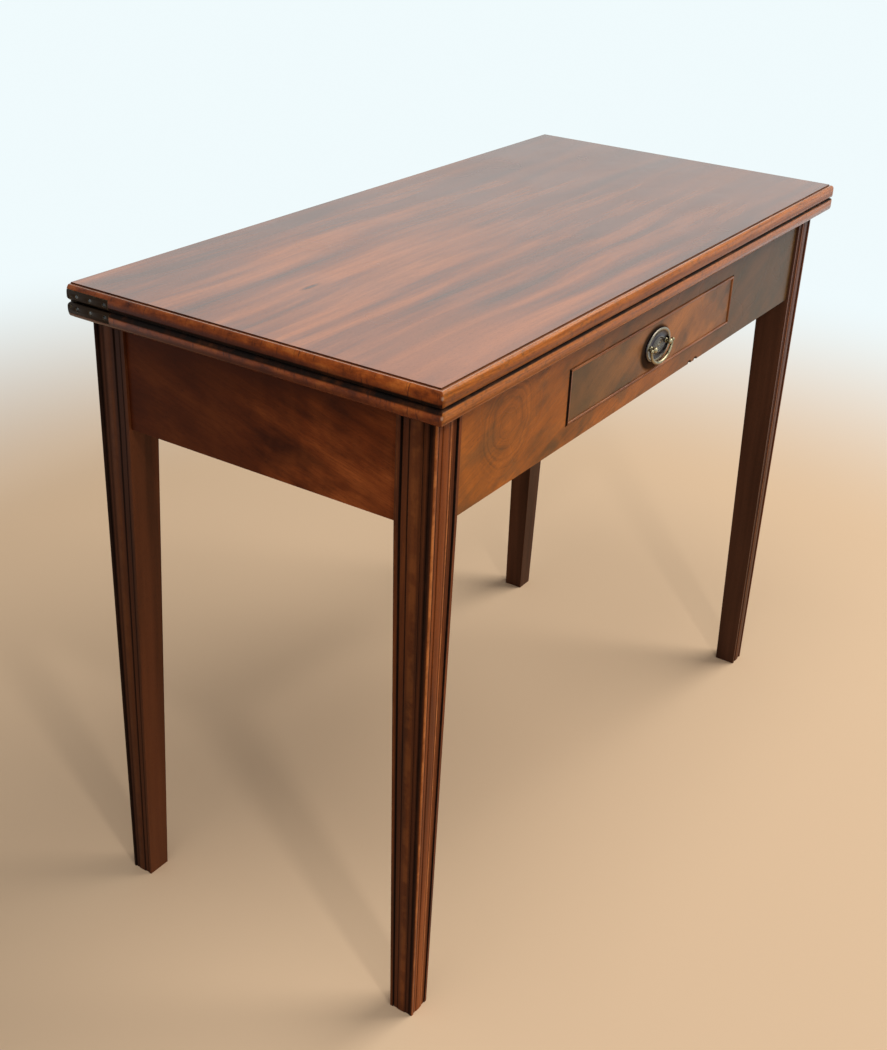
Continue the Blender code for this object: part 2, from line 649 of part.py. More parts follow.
def make_gate(fly_axis):
    """The outer back rail in two halves on a wooden knuckle joint, and the leg that swings with one half."""
    shoulder = LEG_X - LEG_SIZE - GAP
    make_knuckle_half("knuckle_rail_fixed", 1, shoulder, 0)
    fly = make_knuckle_half("fly_rail", -1, -shoulder, 1, fly_axis)
    tenon = cross_tenon(-1, KNUCKLE_Y, shoulder)
    join(fly, box(*tenon))
    leg = make_leg("fly_leg", -1, 1, fly_axis)
    cut(leg, box(*grown(*tenon)),
        box((-LEG_X + REBATE_WALL, LEG_REAR - LEG_SIZE - OVERRUN, RAIL_BOTTOM - GAP),
            (-LEG_X + LEG_SIZE + OVERRUN, FLY_RAIL_FRONT, FRAME_TOP + OVERRUN)))
    add_part("knuckle_pin", rod((KNUCKLE_X, KNUCKLE_Y, RAIL_BOTTOM - KNUCKLE_PIN_PROUD),
                                (KNUCKLE_X, KNUCKLE_Y, FRAME_TOP), KNUCKLE_PIN_RADIUS, SMALL_ROUND_SEGMENTS), "iron")


def beam_ends():
    """Where the beams under and over the drawer start and end, inside their housings."""
    return RAIL_FACE + FRONT_RAIL_THICKNESS - HOUSING_DEPTH, BACK_RAIL_FRONT + HOUSING_DEPTH


def runner_corners(side):
    """Corners of the beam that carries one side of the drawer."""
    front, rear = beam_ends()
    return ((side * RUNNER_X - RUNNER_WIDTH / 2, front, RUNNER_TOP - RUNNER_HEIGHT),
            (side * RUNNER_X + RUNNER_WIDTH / 2, rear, RUNNER_TOP))


def kicker_corners(side):
    """Corners of the beam over one side of the drawer, which keeps it level when it is out."""
    front, rear = beam_ends()
    return ((side * RUNNER_X - RUNNER_WIDTH / 2, front, KICKER_LOW),
            (side * RUNNER_X + RUNNER_WIDTH / 2, rear, KICKER_LOW + KICKER_HEIGHT))


def make_carcase():
    """Runners, kickers, guides and stops for the drawer, and blocks that hold the top to the rails."""
    front, rear = RAIL_FACE + FRONT_RAIL_THICKNESS + GAP, BACK_RAIL_FRONT - GAP
    for end, side in (("left", -1), ("right", 1)):
        add_part(f"drawer_runner_{end}", box(*runner_corners(side)), "oak")
        add_part(f"drawer_kicker_{end}", box(*kicker_corners(side)), "oak")
        across = sorted((side * (DRAWER_HALF + RUNNING_GAP), side * (DRAWER_HALF + RUNNING_GAP + GUIDE_WIDTH)))
        add_part(f"drawer_guide_{end}", box((across[0], front, RUNNER_TOP + GAP),
                                            (across[1], rear, RUNNER_TOP + GAP + GUIDE_HEIGHT)), "oak")
        across = sorted((side * DRAWER_HALF, side * (DRAWER_HALF - DRAWER_SIDE_THICKNESS)))
        add_part(f"drawer_stop_{end}", box((across[0], DRAWER_END + GAP, RUNNER_TOP + GAP),
                                           (across[1], DRAWER_END + GAP + STOP_LENGTH,
                                            RUNNER_TOP + GAP + STOP_HEIGHT)), "oak")
        make_blocks(end, side, front, rear)


def make_blocks(end, side, front, rear):
    """Three glue blocks under the top on one side of the frame."""
    low = FRAME_TOP - BLOCK_SIZE
    place = side * BLOCK_PLACE_SHARE * LEG_X
    for name, start, stop in (("front", front, front + BLOCK_SIZE), ("back", rear - BLOCK_SIZE, rear)):
        add_part(f"glue_block_{name}_{end}", box((place - BLOCK_LENGTH / 2, start, low),
                                                 (place + BLOCK_LENGTH / 2, stop, FRAME_TOP)), "oak")
    inner = END_FACE - END_RAIL_THICKNESS - GAP
    across = sorted((side * inner, side * (inner - BLOCK_SIZE)))
    add_part(f"glue_block_end_{end}", box((across[0], -BLOCK_LENGTH / 2, low),
                                          (across[1], BLOCK_LENGTH / 2, FRAME_TOP)), "oak")


def tail_lines(low, high, count):
    """Middle, half root and half end of each dovetail between two heights."""
    pitch = (high - low) / count
    return [(low + (index + 0.5) * pitch, pitch * TAIL_ROOT_SHARE / 2, pitch * TAIL_END_SHARE / 2)
            for index in range(count)]


def front_tails():
    """The dovetails at the front of a drawer side."""
    return tail_lines(DRAWER_LOW, DRAWER_SIDE_HIGH, FRONT_TAIL_COUNT)


def back_tails():
    """The dovetails at the back of a drawer side."""
    return tail_lines(DRAWER_BACK_LOW, DRAWER_BACK_HIGH, BACK_TAIL_COUNT)


def side_outline():
    """A drawer side with tails for the front and for the back."""
    shoulder, tip = DRAWER_INSIDE_FRONT + GAP, DRAWER_FACE + DOVETAIL_LAP + GAP
    root = DRAWER_END - DRAWER_BACK_THICKNESS - GAP
    points = [(shoulder, DRAWER_LOW), (DRAWER_END, DRAWER_LOW), (DRAWER_END, DRAWER_BACK_LOW),
              (root, DRAWER_BACK_LOW)]
    for middle, half_root, half_end in back_tails():
        points += [(root, middle - half_root), (DRAWER_END, middle - half_end),
                   (DRAWER_END, middle + half_end), (root, middle + half_root)]
    points += [(root, DRAWER_BACK_HIGH), (root, DRAWER_SIDE_HIGH), (shoulder, DRAWER_SIDE_HIGH)]
    for middle, half_root, half_end in reversed(front_tails()):
        points += [(shoulder, middle + half_root), (tip, middle + half_end),
                   (tip, middle - half_end), (shoulder, middle - half_root)]
    return points


def socket(side, middle, half_root, half_end, root, end):
    """A cutter for one dovetail, from its root towards its end, with room round the tail."""
    beyond = root + math.copysign(OVERRUN, root - end)
    past = end + math.copysign(GAP, end - root)
    outline = [(beyond, middle - half_root - GAP), (root, middle - half_root - GAP),
               (past, middle - half_end - GAP), (past, middle + half_end + GAP),
               (root, middle + half_root + GAP), (beyond, middle + half_root + GAP)]
    across = sorted((side * (DRAWER_HALF + OVERRUN), side * (DRAWER_HALF - DRAWER_SIDE_THICKNESS - GAP)))
    return slab([outline], "YZ", *across)


def rectangle(left, low, right, high):
    """The corners of a rectangle."""
    return [(left, low), (right, low), (right, high), (left, high)]


def groove():
    """Heights of the groove that holds the drawer's bottom."""
    return DRAWER_LOW + BOTTOM_LIFT - GAP, DRAWER_LOW + BOTTOM_LIFT + BOTTOM_THICKNESS + GAP


def make_drawer_front(carrier):
    """The drawer front, rebated for the bead and socketed for the sides' dovetails."""
    front = add_part("drawer_front", box((-DRAWER_HALF, DRAWER_FACE, DRAWER_LOW),
                                         (DRAWER_HALF, DRAWER_INSIDE_FRONT, DRAWER_HIGH)), "mahogany_frieze", carrier)
    bed = BEAD_THICKNESS + GAP
    frame = [rectangle(-DRAWER_HALF - OVERRUN, DRAWER_LOW - OVERRUN, DRAWER_HALF + OVERRUN, DRAWER_HIGH + OVERRUN),
             rectangle(-DRAWER_HALF + bed, DRAWER_LOW + bed, DRAWER_HALF - bed, DRAWER_HIGH - bed)]
    cut(front, slab(frame, "XZ", DRAWER_FACE - OVERRUN, DRAWER_FACE + BEAD_DEPTH + GAP))
    for side in (-1, 1):
        for middle, half_root, half_end in front_tails():
            cut(front, socket(side, middle, half_root, half_end, DRAWER_INSIDE_FRONT, DRAWER_FACE + DOVETAIL_LAP))
        cut(front, rod((side * HANDLE_SPACING / 2, DRAWER_FACE - OVERRUN, HANDLE_HEIGHT),
                       (side * HANDLE_SPACING / 2, DRAWER_INSIDE_FRONT + OVERRUN, HANDLE_HEIGHT),
                       POST_RADIUS + GAP, SMALL_ROUND_SEGMENTS))
    reach = DRAWER_HALF - DRAWER_SIDE_THICKNESS + GROOVE_DEPTH
    low, high = groove()
    cut(front, box((-reach, DRAWER_INSIDE_FRONT - GROOVE_DEPTH, low), (reach, DRAWER_INSIDE_FRONT + OVERRUN, high)))


def make_drawer_box(carrier):
    """The drawer's sides, back and bottom."""
    low, high = groove()
    for end, side in (("left", -1), ("right", 1)):
        across = sorted((side * DRAWER_HALF, side * (DRAWER_HALF - DRAWER_SIDE_THICKNESS)))
        board = add_part(f"drawer_side_{end}", slab([side_outline()], "YZ", *across), "oak", carrier)
        inner = side * (DRAWER_HALF - DRAWER_SIDE_THICKNESS)
        across = sorted((inner + side * GROOVE_DEPTH, inner - side * OVERRUN))
        cut(board, box((across[0], DRAWER_INSIDE_FRONT - OVERRUN, low), (across[1], DRAWER_END + OVERRUN, high)))
    back = add_part("drawer_back", box((-DRAWER_HALF, DRAWER_END - DRAWER_BACK_THICKNESS, DRAWER_BACK_LOW + GAP),
                                       (DRAWER_HALF, DRAWER_END, DRAWER_BACK_HIGH - GAP)), "oak", carrier)
    for side in (-1, 1):
        for middle, half_root, half_end in back_tails():
            cut(back, socket(side, middle, half_root, half_end, DRAWER_END - DRAWER_BACK_THICKNESS, DRAWER_END))
    reach = DRAWER_HALF - DRAWER_SIDE_THICKNESS + GROOVE_DEPTH - GAP
    add_part("drawer_bottom", box((-reach, DRAWER_INSIDE_FRONT - GROOVE_DEPTH + GAP, low + GAP),
                                  (reach, DRAWER_END, high - GAP)), "oak", carrier)


def bead_strip(length, along):
    """A mitred bead about its own middle, with its outer edge down and its nose rounded."""
    half, short = length / 2, length / 2 - BEAD_THICKNESS
    bm = bmesh.new()
    face = bm.faces.new([bm.verts.new((across, -BEAD_PROUD, up)) for across, up in
                         ((-half, 0), (half, 0), (short, BEAD_THICKNESS), (-short, BEAD_THICKNESS))])
    solid = bmesh.ops.extrude_face_region(bm, geom=[face])
    back = [item for item in solid["geom"] if isinstance(item, bmesh.types.BMVert)]
    bmesh.ops.translate(bm, vec=(0, BEAD_PROUD + BEAD_DEPTH, 0), verts=back)
    nose = [edge for edge in face.edges if abs(edge.verts[0].co.z - edge.verts[1].co.z) < WELD]
    bmesh.ops.bevel(bm, geom=nose, offset=BEAD_NOSE, segments=3, profile=0.5, affect="EDGES", material=-1)
    bmesh.ops.rotate(bm, cent=(0, 0, 0), matrix=Matrix.Rotation(along, 3, "Y"), verts=bm.verts[:])
    return mesh_from(bm, "bead")


def make_beads(carrier):
    """The four beads round the drawer front, mitred at the corners."""
    height = DRAWER_HIGH - DRAWER_LOW
    middle = (DRAWER_HIGH + DRAWER_LOW) / 2
    upright = height - 2 * math.sqrt(2) * GAP
    for name, length, turn, place in (
            ("bottom", 2 * DRAWER_HALF, 0, (0, DRAWER_FACE, DRAWER_LOW)),
            ("top", 2 * DRAWER_HALF, math.pi, (0, DRAWER_FACE, DRAWER_HIGH)),
            ("left", upright, math.pi / 2, (-DRAWER_HALF, DRAWER_FACE, middle)),
            ("right", upright, -math.pi / 2, (DRAWER_HALF, DRAWER_FACE, middle))):
        place_part(f"drawer_bead_{name}", bead_strip(length, turn), "mahogany_frieze", place, carrier)


def make_backplate(carrier):
    """The oval stamped plate: a turned dish with a rim, a ring and a boss, drawn out to an oval."""
    shares = ((0.0, STAMPING_BOSS), (0.07, STAMPING_BOSS), (0.13, STAMPING_RING), (0.16, STAMPING_BASE),
              (0.36, STAMPING_BASE), (0.40, STAMPING_RING), (0.45, STAMPING_RING), (0.49, STAMPING_BASE),
              (0.84, STAMPING_BASE), (0.88, STAMPING_RIM), (0.94, STAMPING_RIM), (0.985, STAMPING_RING),
              (1.0, STAMPING_EDGE), (1.0, 0.0), (0.0, 0.0))
    profile = [(share * PLATE_HALF_HEIGHT, height) for share, height in shares]
    plate = turned(profile, ROUND_SEGMENTS)
    plate.transform(Matrix.Diagonal((PLATE_HALF_WIDTH / PLATE_HALF_HEIGHT, 1, 1, 1)))
    plate.transform(Matrix.Rotation(math.pi / 2, 4, "X"))
    obj = place_part("handle_backplate", plate, "brass", (0, DRAWER_FACE - GAP, HANDLE_HEIGHT), carrier)
    for side in (-1, 1):
        cut(obj, rod((side * HANDLE_SPACING / 2, DRAWER_FACE - STAMPING_RIM - OVERRUN, HANDLE_HEIGHT),
                     (side * HANDLE_SPACING / 2, DRAWER_FACE + OVERRUN, HANDLE_HEIGHT),
                     POST_RADIUS + GAP, SMALL_ROUND_SEGMENTS))


def post_profile():
    """A handle post from its round head down to the end of its shank, in heights above the drawer front."""
    head = [(POST_HEAD_RADIUS * math.sin(angle), PIVOT_STANDOFF + POST_HEAD_RADIUS * math.cos(angle))
            for angle in [3 * math.pi * step / (8 * ARC_STEPS) for step in range(2 * ARC_STEPS + 1)]]
    seat = GAP + STAMPING_BASE + GAP
    shank_end = -DRAWER_FRONT_THICKNESS - GAP - NUT_THICKNESS - POST_PROUD
    return head + [(POST_COLLAR_RADIUS, seat + GAP), (POST_COLLAR_RADIUS, seat), (POST_RADIUS, seat),
                   (POST_RADIUS, shank_end), (0.0, shank_end)]


def make_posts(carrier):
    """Two posts that carry the bail, each held by a nut inside the drawer."""
    for end, side in (("left", -1), ("right", 1)):
        across = side * HANDLE_SPACING / 2
        post = turned(post_profile(), SMALL_ROUND_SEGMENTS)
        post.transform(Matrix.Rotation(math.pi / 2, 4, "X"))
        obj = place_part(f"handle_post_{end}", post, "brass", (across, DRAWER_FACE, HANDLE_HEIGHT), carrier)
        reach = POST_HEAD_RADIUS + OVERRUN
        cut(obj, rod((across - reach, PIVOT_Y, HANDLE_HEIGHT), (across + reach, PIVOT_Y, HANDLE_HEIGHT),
                     BAIL_PIN_RADIUS + GAP, SMALL_ROUND_SEGMENTS // 2))
        seat = DRAWER_INSIDE_FRONT + GAP
        nut = add_part(f"handle_nut_{end}", rod((across, seat, HANDLE_HEIGHT),
                                                (across, seat + NUT_THICKNESS, HANDLE_HEIGHT), NUT_RADIUS, 6),
                       "iron", carrier)
        cut(nut, rod((across, seat - OVERRUN, HANDLE_HEIGHT), (across, seat + NUT_THICKNESS + OVERRUN, HANDLE_HEIGHT),
                     POST_RADIUS + GAP, SMALL_ROUND_SEGMENTS))


def make_bail(bail_axis):
    """The bail: a drooping tube with a ball at each end and a pin that turns in its post."""
    curve = bpy.data.curves.new("bail", "CURVE")
    curve.dimensions = "3D"
    curve.bevel_depth = BAIL_RADIUS
    curve.bevel_resolution = 2
    curve.use_fill_caps = True
    spline = curve.splines.new("POLY")
    spline.points.add(BAIL_POINT_COUNT)
    for index, point in enumerate(spline.points):
        angle = math.pi * index / BAIL_POINT_COUNT
        point.co = (-BAIL_HALF_WIDTH * math.cos(angle), PIVOT_Y, HANDLE_HEIGHT - BAIL_DROP * math.sin(angle), 1)
    tube = settled_mesh(bpy.data.objects.new("bail", curve))
    tube.shade_smooth()
    tube.transform(Matrix.Translation((0, -PIVOT_Y, -HANDLE_HEIGHT)))
    bail = place_part("bail", tube, "brass", (0, PIVOT_Y, HANDLE_HEIGHT), bail_axis)
    for side in (-1, 1):
        join(bail, ball((side * BAIL_HALF_WIDTH, PIVOT_Y, HANDLE_HEIGHT), BAIL_BALL_RADIUS),
             rod((side * (HANDLE_SPACING / 2 - POST_HEAD_RADIUS), PIVOT_Y, HANDLE_HEIGHT),
                 (side * BAIL_HALF_WIDTH, PIVOT_Y, HANDLE_HEIGHT), BAIL_PIN_RADIUS, SMALL_ROUND_SEGMENTS // 2))


clear_scene()
PARTS = collection("tea_table")
TOOLS = collection("cutters")
slide = axis_empty("drawer_slide", (0, DRAWER_FACE, DRAWER_LOW))
bail_axis = axis_empty("bail_axis", (0, PIVOT_Y, HANDLE_HEIGHT))
link_axis = axis_empty("link_axis", (0, PIN_Y, MEETING_HEIGHT - PIN_RISE))
leaf_axis = axis_empty("leaf_axis", (0, PIN_Y, MEETING_HEIGHT + PIN_RISE))
fly_axis = axis_empty("fly_axis", (KNUCKLE_X, KNUCKLE_Y, RAIL_BOTTOM))
make_top(link_axis, leaf_axis)
make_frame_legs()
make_front_rail()
make_end_rails()
make_back_rail()
make_gate(fly_axis)
make_carcase()
make_drawer_front(slide)
make_drawer_box(slide)
make_beads(slide)
make_backplate(slide)
make_posts(slide)
make_bail(bail_axis)
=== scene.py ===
"""A Georgian fold-over tea table in polished mahogany, standing closed on a pale studio floor.

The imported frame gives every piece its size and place. This script gives each its surface and wear, adds
screws and nails, and makes the handle anew. +X runs right along the front, +Y back and +Z up, in metres.
"""
import json
import math

import bmesh
import bpy
from mathutils import Matrix, Vector


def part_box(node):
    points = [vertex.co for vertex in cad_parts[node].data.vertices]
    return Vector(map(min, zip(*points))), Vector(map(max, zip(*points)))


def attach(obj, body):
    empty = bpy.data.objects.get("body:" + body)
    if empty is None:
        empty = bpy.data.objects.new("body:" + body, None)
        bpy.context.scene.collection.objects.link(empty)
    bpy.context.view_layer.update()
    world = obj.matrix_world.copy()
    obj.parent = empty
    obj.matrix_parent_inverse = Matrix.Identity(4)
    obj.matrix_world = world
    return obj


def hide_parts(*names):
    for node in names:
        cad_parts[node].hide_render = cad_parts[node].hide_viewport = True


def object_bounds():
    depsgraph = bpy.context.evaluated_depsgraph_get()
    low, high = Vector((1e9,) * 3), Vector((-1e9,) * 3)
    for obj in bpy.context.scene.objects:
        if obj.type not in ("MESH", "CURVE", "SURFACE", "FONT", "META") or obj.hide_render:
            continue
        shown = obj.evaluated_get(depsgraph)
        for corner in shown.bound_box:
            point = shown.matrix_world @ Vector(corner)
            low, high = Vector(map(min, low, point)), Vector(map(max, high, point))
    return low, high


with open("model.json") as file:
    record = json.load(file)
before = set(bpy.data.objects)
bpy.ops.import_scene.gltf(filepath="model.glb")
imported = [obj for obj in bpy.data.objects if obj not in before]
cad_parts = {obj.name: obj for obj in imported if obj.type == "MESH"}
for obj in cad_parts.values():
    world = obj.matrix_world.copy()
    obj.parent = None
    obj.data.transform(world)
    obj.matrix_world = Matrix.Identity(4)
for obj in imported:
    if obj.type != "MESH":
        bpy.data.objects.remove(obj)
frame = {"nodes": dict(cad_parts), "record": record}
cad_low, cad_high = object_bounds()


# The legs
# Four square legs of dark mahogany, tapered on their inner faces, moulded with planes on their outer ones and
# mortised for the rails. Dirt and painted shade darken the quirks and hollows, and two centuries of dusting
# have worn the arrises, beside painted highlights on the crests. Painted shade also darkens the end faces,
# the tops under the leaves and every leg but the near left one.

# A leg is (name, the share that it keeps of its full colour and of its wear, the tone of its inner faces).
# The share is painted shade: every leg but the near left one is painted darker.
legs = (("front_leg_left", 1.0, (0.110, 0.040, 0.018)), ("front_leg_right", 0.36, (0.083, 0.034, 0.019)),
        ("rear_leg_right", 0.30, (0.080, 0.031, 0.016)), ("fly_leg", 0.46, (0.125, 0.038, 0.0135)))
leg_tones = ((0.044, 0.0165, 0.0100), (0.245, 0.060, 0.0130), (0.45, 0.125, 0.026))
leg_worn = (0.56, 0.19, 0.050)
inside_levels = (0.6, 1.0, 1.4)
inside_edge = (0.985, 0.999)
leg_board_step = (0.31, 0.17, 0.7)
# Painted shade: the legs' end faces are painted darker.
leg_end_painted_shade = 0.6
leg_ease = 0.0004
leg_top_size, leg_foot_size, taper_top = 0.0405, 0.0275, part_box("front_rail")[0].z
# A line along a moulding is (middle, reach, depth). The first two are shares of the face's width, and the
# middle is counted from the leg's outer arris.
# The dark lines are dirt in the quirks and painted shade in the hollows.
front_dirt = ((0.170, 0.035, 1.0), (0.560, 0.020, 0.7), (0.690, 0.020, 0.9), (0.800, 0.140, 0.45),
              (0.880, 0.040, 1.0))
# The light lines are worn arrises and painted highlights along the crests.
front_worn = ((0.055, 0.070, 1.0), (0.625, 0.045, 1.0))
end_dirt = ((0.120, 0.130, 0.88), (0.300, 0.100, 0.40), (0.665, 0.040, 0.8), (0.860, 0.045, 1.0))
end_worn = ((0.470, 0.170, 0.24), (0.960, 0.035, 0.20))
# A shade is (start, end, depth): the colour is painted darker along the line from its start to its end.
# The painted shadow of the leaves on the tops of the legs.
leg_painted_shadow = ((0.0, 0.0, 0.660), (0.0, 0.0, 0.684), 0.75)
shade_waver = 0.42
# The colour of grime and of painted shade in corners, joints and hollows.
grime_and_shade_colour = (0.009, 0.006, 0.005)
facet_area, facet_bends = 0.002, (math.radians(1), math.radians(42))
weld_distance, flat_angle = 0.00002, math.radians(1.0)
arris_angle, crease_angle = math.radians(40), math.radians(50)
body_of = {node: body for body, members in frame["record"]["behaviour"]["bodies"].items() for node in members}
slot_of = {part["node"]: part["material_slot"] for part in frame["record"]["subparts"]}


def add_node(tree, kind, inputs=None, **settings):
    """A shader node with its settings, and with inputs that are set to values or linked to sockets."""
    node = tree.nodes.new(kind)
    for name, value in settings.items():
        setattr(node, name, value)
    for name, value in (inputs or {}).items():
        socket = node.inputs[name]
        if isinstance(value, bpy.types.NodeSocket):
            tree.links.new(value, socket)
        else:
            socket.default_value = (*value, 1.0) if socket.type == "RGBA" else value
    return node


def maths(tree, operation, first, second=0.0):
    """The result of a sum on two values or sockets."""
    return add_node(tree, "ShaderNodeMath", {0: first, 1: second}, operation=operation).outputs[0]


def apart(tree, first, second):
    """How far apart two values or sockets are."""
    return maths(tree, "ABSOLUTE", maths(tree, "SUBTRACT", first, second))


def vector_maths(tree, operation, first, second=(0.0, 0.0, 0.0)):
    """The result of a sum on two vectors or sockets, which is a number for a length or a product."""
    node = add_node(tree, "ShaderNodeVectorMath", {0: first, 1: second}, operation=operation)
    return node.outputs["Value" if operation in ("LENGTH", "DISTANCE", "DOT_PRODUCT") else "Vector"]


def axes_of(tree, place):
    """The X, Y and Z of a place."""
    return add_node(tree, "ShaderNodeSeparateXYZ", {0: place}).outputs


def spread(tree, value, low, high, bottom=0.0, top=1.0):
    """A value brought softly from one range to another and kept inside it."""
    ends = {"Value": value, "From Min": low, "From Max": high, "To Min": bottom, "To Max": top}
    return add_node(tree, "ShaderNodeMapRange", ends, interpolation_type="SMOOTHSTEP").outputs[0]


def noise(tree, place, stretch, detail=2.0, roughness=0.5):
    """Noise with so many swells in a metre along each axis."""
    scaled = vector_maths(tree, "MULTIPLY", place, stretch)
    return add_node(tree, "ShaderNodeTexNoise", {"Vector": scaled, "Scale": 1.0, "Detail": detail,
                                                 "Roughness": roughness}).outputs[0]


def even_noise(tree, place, swells, detail=2.0, roughness=0.5):
    """Noise with the same number of swells in a metre along every axis."""
    return noise(tree, place, (swells, swells, swells), detail, roughness)


def blend(tree, factor, first, second):
    """Two colours, mixed by a factor."""
    return add_node(tree, "ShaderNodeMix", {0: factor, 6: first, 7: second}, data_type="RGBA").outputs[2]


def tones(tree, factor, colours, places=(0.3, 0.5, 0.72)):
    """A colour ramp through three colours."""
    ramp = add_node(tree, "ShaderNodeValToRGB", {"Fac": factor})
    stops = ramp.color_ramp.elements
    stops.new(0.5)
    for stop, place, colour in zip(stops, places, colours):
        stop.position = place
        stop.color = (*colour, 1.0)
    return ramp.outputs[0]


def new_group(name, inputs, outputs):
    """An empty shader group, whose inputs and outputs are listed by kind, and the sockets of its inputs."""
    group = bpy.data.node_groups.new(name, "ShaderNodeTree")
    for way, kinds in (("INPUT", inputs), ("OUTPUT", outputs)):
        for kind, sockets in kinds.items():
            for socket in sockets:
                group.interface.new_socket(socket, in_out=way, socket_type=f"NodeSocket{kind}")
    return group, add_node(group, "NodeGroupInput").outputs


def placed(tree, group, **inputs):
    """The outputs of a shader group that is placed in a material with its own values."""
    return add_node(tree, "ShaderNodeGroup", inputs, node_tree=group).outputs


def start_material(name):
    """A new material, with its tree, its shader and the place of a point on the piece."""
    material = bpy.data.materials.new(name)
    material.use_nodes = True
    tree = material.node_tree
    place = add_node(tree, "ShaderNodeTexCoord").outputs["Object"]
    return material, tree, tree.nodes["Principled BSDF"], place


def sawn_wood_group():
    """A group for sawn wood with its grain along X: broad streaks, cross mottle, fine lines and pores."""
    group, given = new_group("sawn_wood", {"Vector": ["place", "stretch"], "Float": ["wander"]},
                             {"Float": ["streak", "mottle", "fine", "pores", "height"]})
    swell = vector_maths(group, "MULTIPLY", given["place"], (2.4, 7.0, 7.0))
    drift = add_node(group, "ShaderNodeTexNoise", {"Vector": swell, "Scale": 1.0, "Detail": 1.0})
    centred = vector_maths(group, "SUBTRACT", drift.outputs["Color"], (0.5, 0.5, 0.5))
    bent = add_node(group, "ShaderNodeVectorMath", {0: centred, "Scale": given["wander"]}, operation="SCALE")
    place = vector_maths(group, "ADD", given["place"], bent.outputs[0])
    streak = noise(group, place, given["stretch"], 3.5, 0.56)
    mottle = noise(group, place, (26.0, 12.0, 12.0), 2.0, 0.6)
    fine = noise(group, place, (14.0, 480.0, 480.0), 3.0, 0.6)
    flecks = noise(group, given["place"], (210.0, 3600.0, 3600.0), 1.0)
    pores = spread(group, flecks, 0.58, 0.70)
    raised, sunk = maths(group, "MULTIPLY", fine, 0.35), maths(group, "MULTIPLY", pores, 0.5)
    add_node(group, "NodeGroupOutput", {"streak": streak, "mottle": mottle, "fine": fine, "pores": pores,
                                        "height": maths(group, "SUBTRACT", raised, sunk)})
    return group


sawn_wood = sawn_wood_group()
grain_turns = {"X": (0, 0, 0), "Y": (0, 0, math.pi / 2), "Z": (0, math.pi / 2, 0)}


def board_grain(tree, place, along, stretch, wander, shift=(0.0, 0.0, 0.0), slant=0.0):
    """The figure of one board whose grain runs along an axis, raised towards the right by a slant."""
    laid = add_node(tree, "ShaderNodeMapping", {"Vector": place, "Rotation": grain_turns[along]})
    slanted = add_node(tree, "ShaderNodeMapping", {"Vector": laid.outputs[0], "Location": shift,
                                                   "Rotation": (0.0, slant, 0.0)})
    return placed(tree, sawn_wood, place=slanted.outputs[0], stretch=stretch, wander=wander)


def shading_group():
    """A group for a colour that is painted darker in clouds along a line, from nothing to a depth at its end,
    mostly as painted shade.
    """
    group, given = new_group("shading", {"Vector": ["place", "start", "end"], "Float": ["depth"]},
                             {"Float": ["shade"]})
    line = vector_maths(group, "SUBTRACT", given["end"], given["start"])
    passed = vector_maths(group, "SUBTRACT", given["place"], given["start"])
    travel = maths(group, "DIVIDE", vector_maths(group, "DOT_PRODUCT", passed, line),
                   vector_maths(group, "DOT_PRODUCT", line, line))
    cloud = even_noise(group, given["place"], 11.0)
    waver = maths(group, "MULTIPLY", maths(group, "SUBTRACT", cloud, 0.5), shade_waver)
    shade = spread(group, maths(group, "ADD", travel, waver), 0.0, 1.0, 0.0, given["depth"])
    add_node(group, "NodeGroupOutput", {"shade": shade})
    return group


shading = shading_group()
finish_outputs = {"Color": ["colour"], "Float": ["roughness"], "Vector": ["normal"]}


def darkened(tree, place, colour, shade, dark):
    """A colour that darkens along the line of a shade."""
    start, end, depth = shade
    share = placed(tree, shading, place=place, start=start, end=end, depth=depth)["shade"]
    return blend(tree, share, colour, dark)


def old_polish_group():
    """A group for an old wax polish over a colour: pores, rubbed wood and painted highlights, dirt and
    painted shade, and a gloss that wavers.
    """
    inputs = {"Vector": ["place"], "Color": ["colour", "worn"],
              "Float": ["pores", "height", "gloss", "age", "rubbed", "dirt"]}
    group, given = new_group("old_polish", inputs, finish_outputs)
    place = given["place"]
    patches = even_noise(group, place, 38.0, 3.0, 0.65)
    wear = add_node(group, "ShaderNodeAttribute", attribute_name="wear").outputs["Fac"]
    most = maths(group, "MULTIPLY", given["age"], 0.85)
    wear = maths(group, "MULTIPLY", maths(group, "MAXIMUM", wear, given["rubbed"]),
                 spread(group, patches, 0.40, 0.62, 0.15, most))
    grime_and_shade = add_node(group, "ShaderNodeAttribute", attribute_name="grime_and_shade").outputs["Fac"]
    grime_and_shade = maths(group, "MULTIPLY", maths(group, "MAXIMUM", grime_and_shade, given["dirt"]),
                  spread(group, patches, 0.25, 0.55, 0.82, 0.99))
    colour = blend(group, maths(group, "MULTIPLY", given["pores"], 0.4), given["colour"], grime_and_shade_colour)
    colour = blend(group, wear, colour, given["worn"])
    colour = blend(group, grime_and_shade, colour, grime_and_shade_colour)
    haze = maths(group, "SUBTRACT", even_noise(group, place, 9.0), 0.5)
    rough = maths(group, "ADD", maths(group, "MULTIPLY", haze, 0.14), given["gloss"])
    rough = maths(group, "ADD", rough, maths(group, "MULTIPLY", grime_and_shade, 0.8))
    ripple = even_noise(group, place, 45.0, 1.0)
    soft = add_node(group, "ShaderNodeBump", {"Height": ripple, "Strength": 0.3, "Distance": 0.0003})
    bump = add_node(group, "ShaderNodeBump", {"Height": given["height"], "Strength": 0.4, "Distance": 0.00006,
                                              "Normal": soft.outputs[0]})
    add_node(group, "NodeGroupOutput", {"colour": colour, "roughness": rough, "normal": bump.outputs[0]})
    return group


old_polish = old_polish_group()


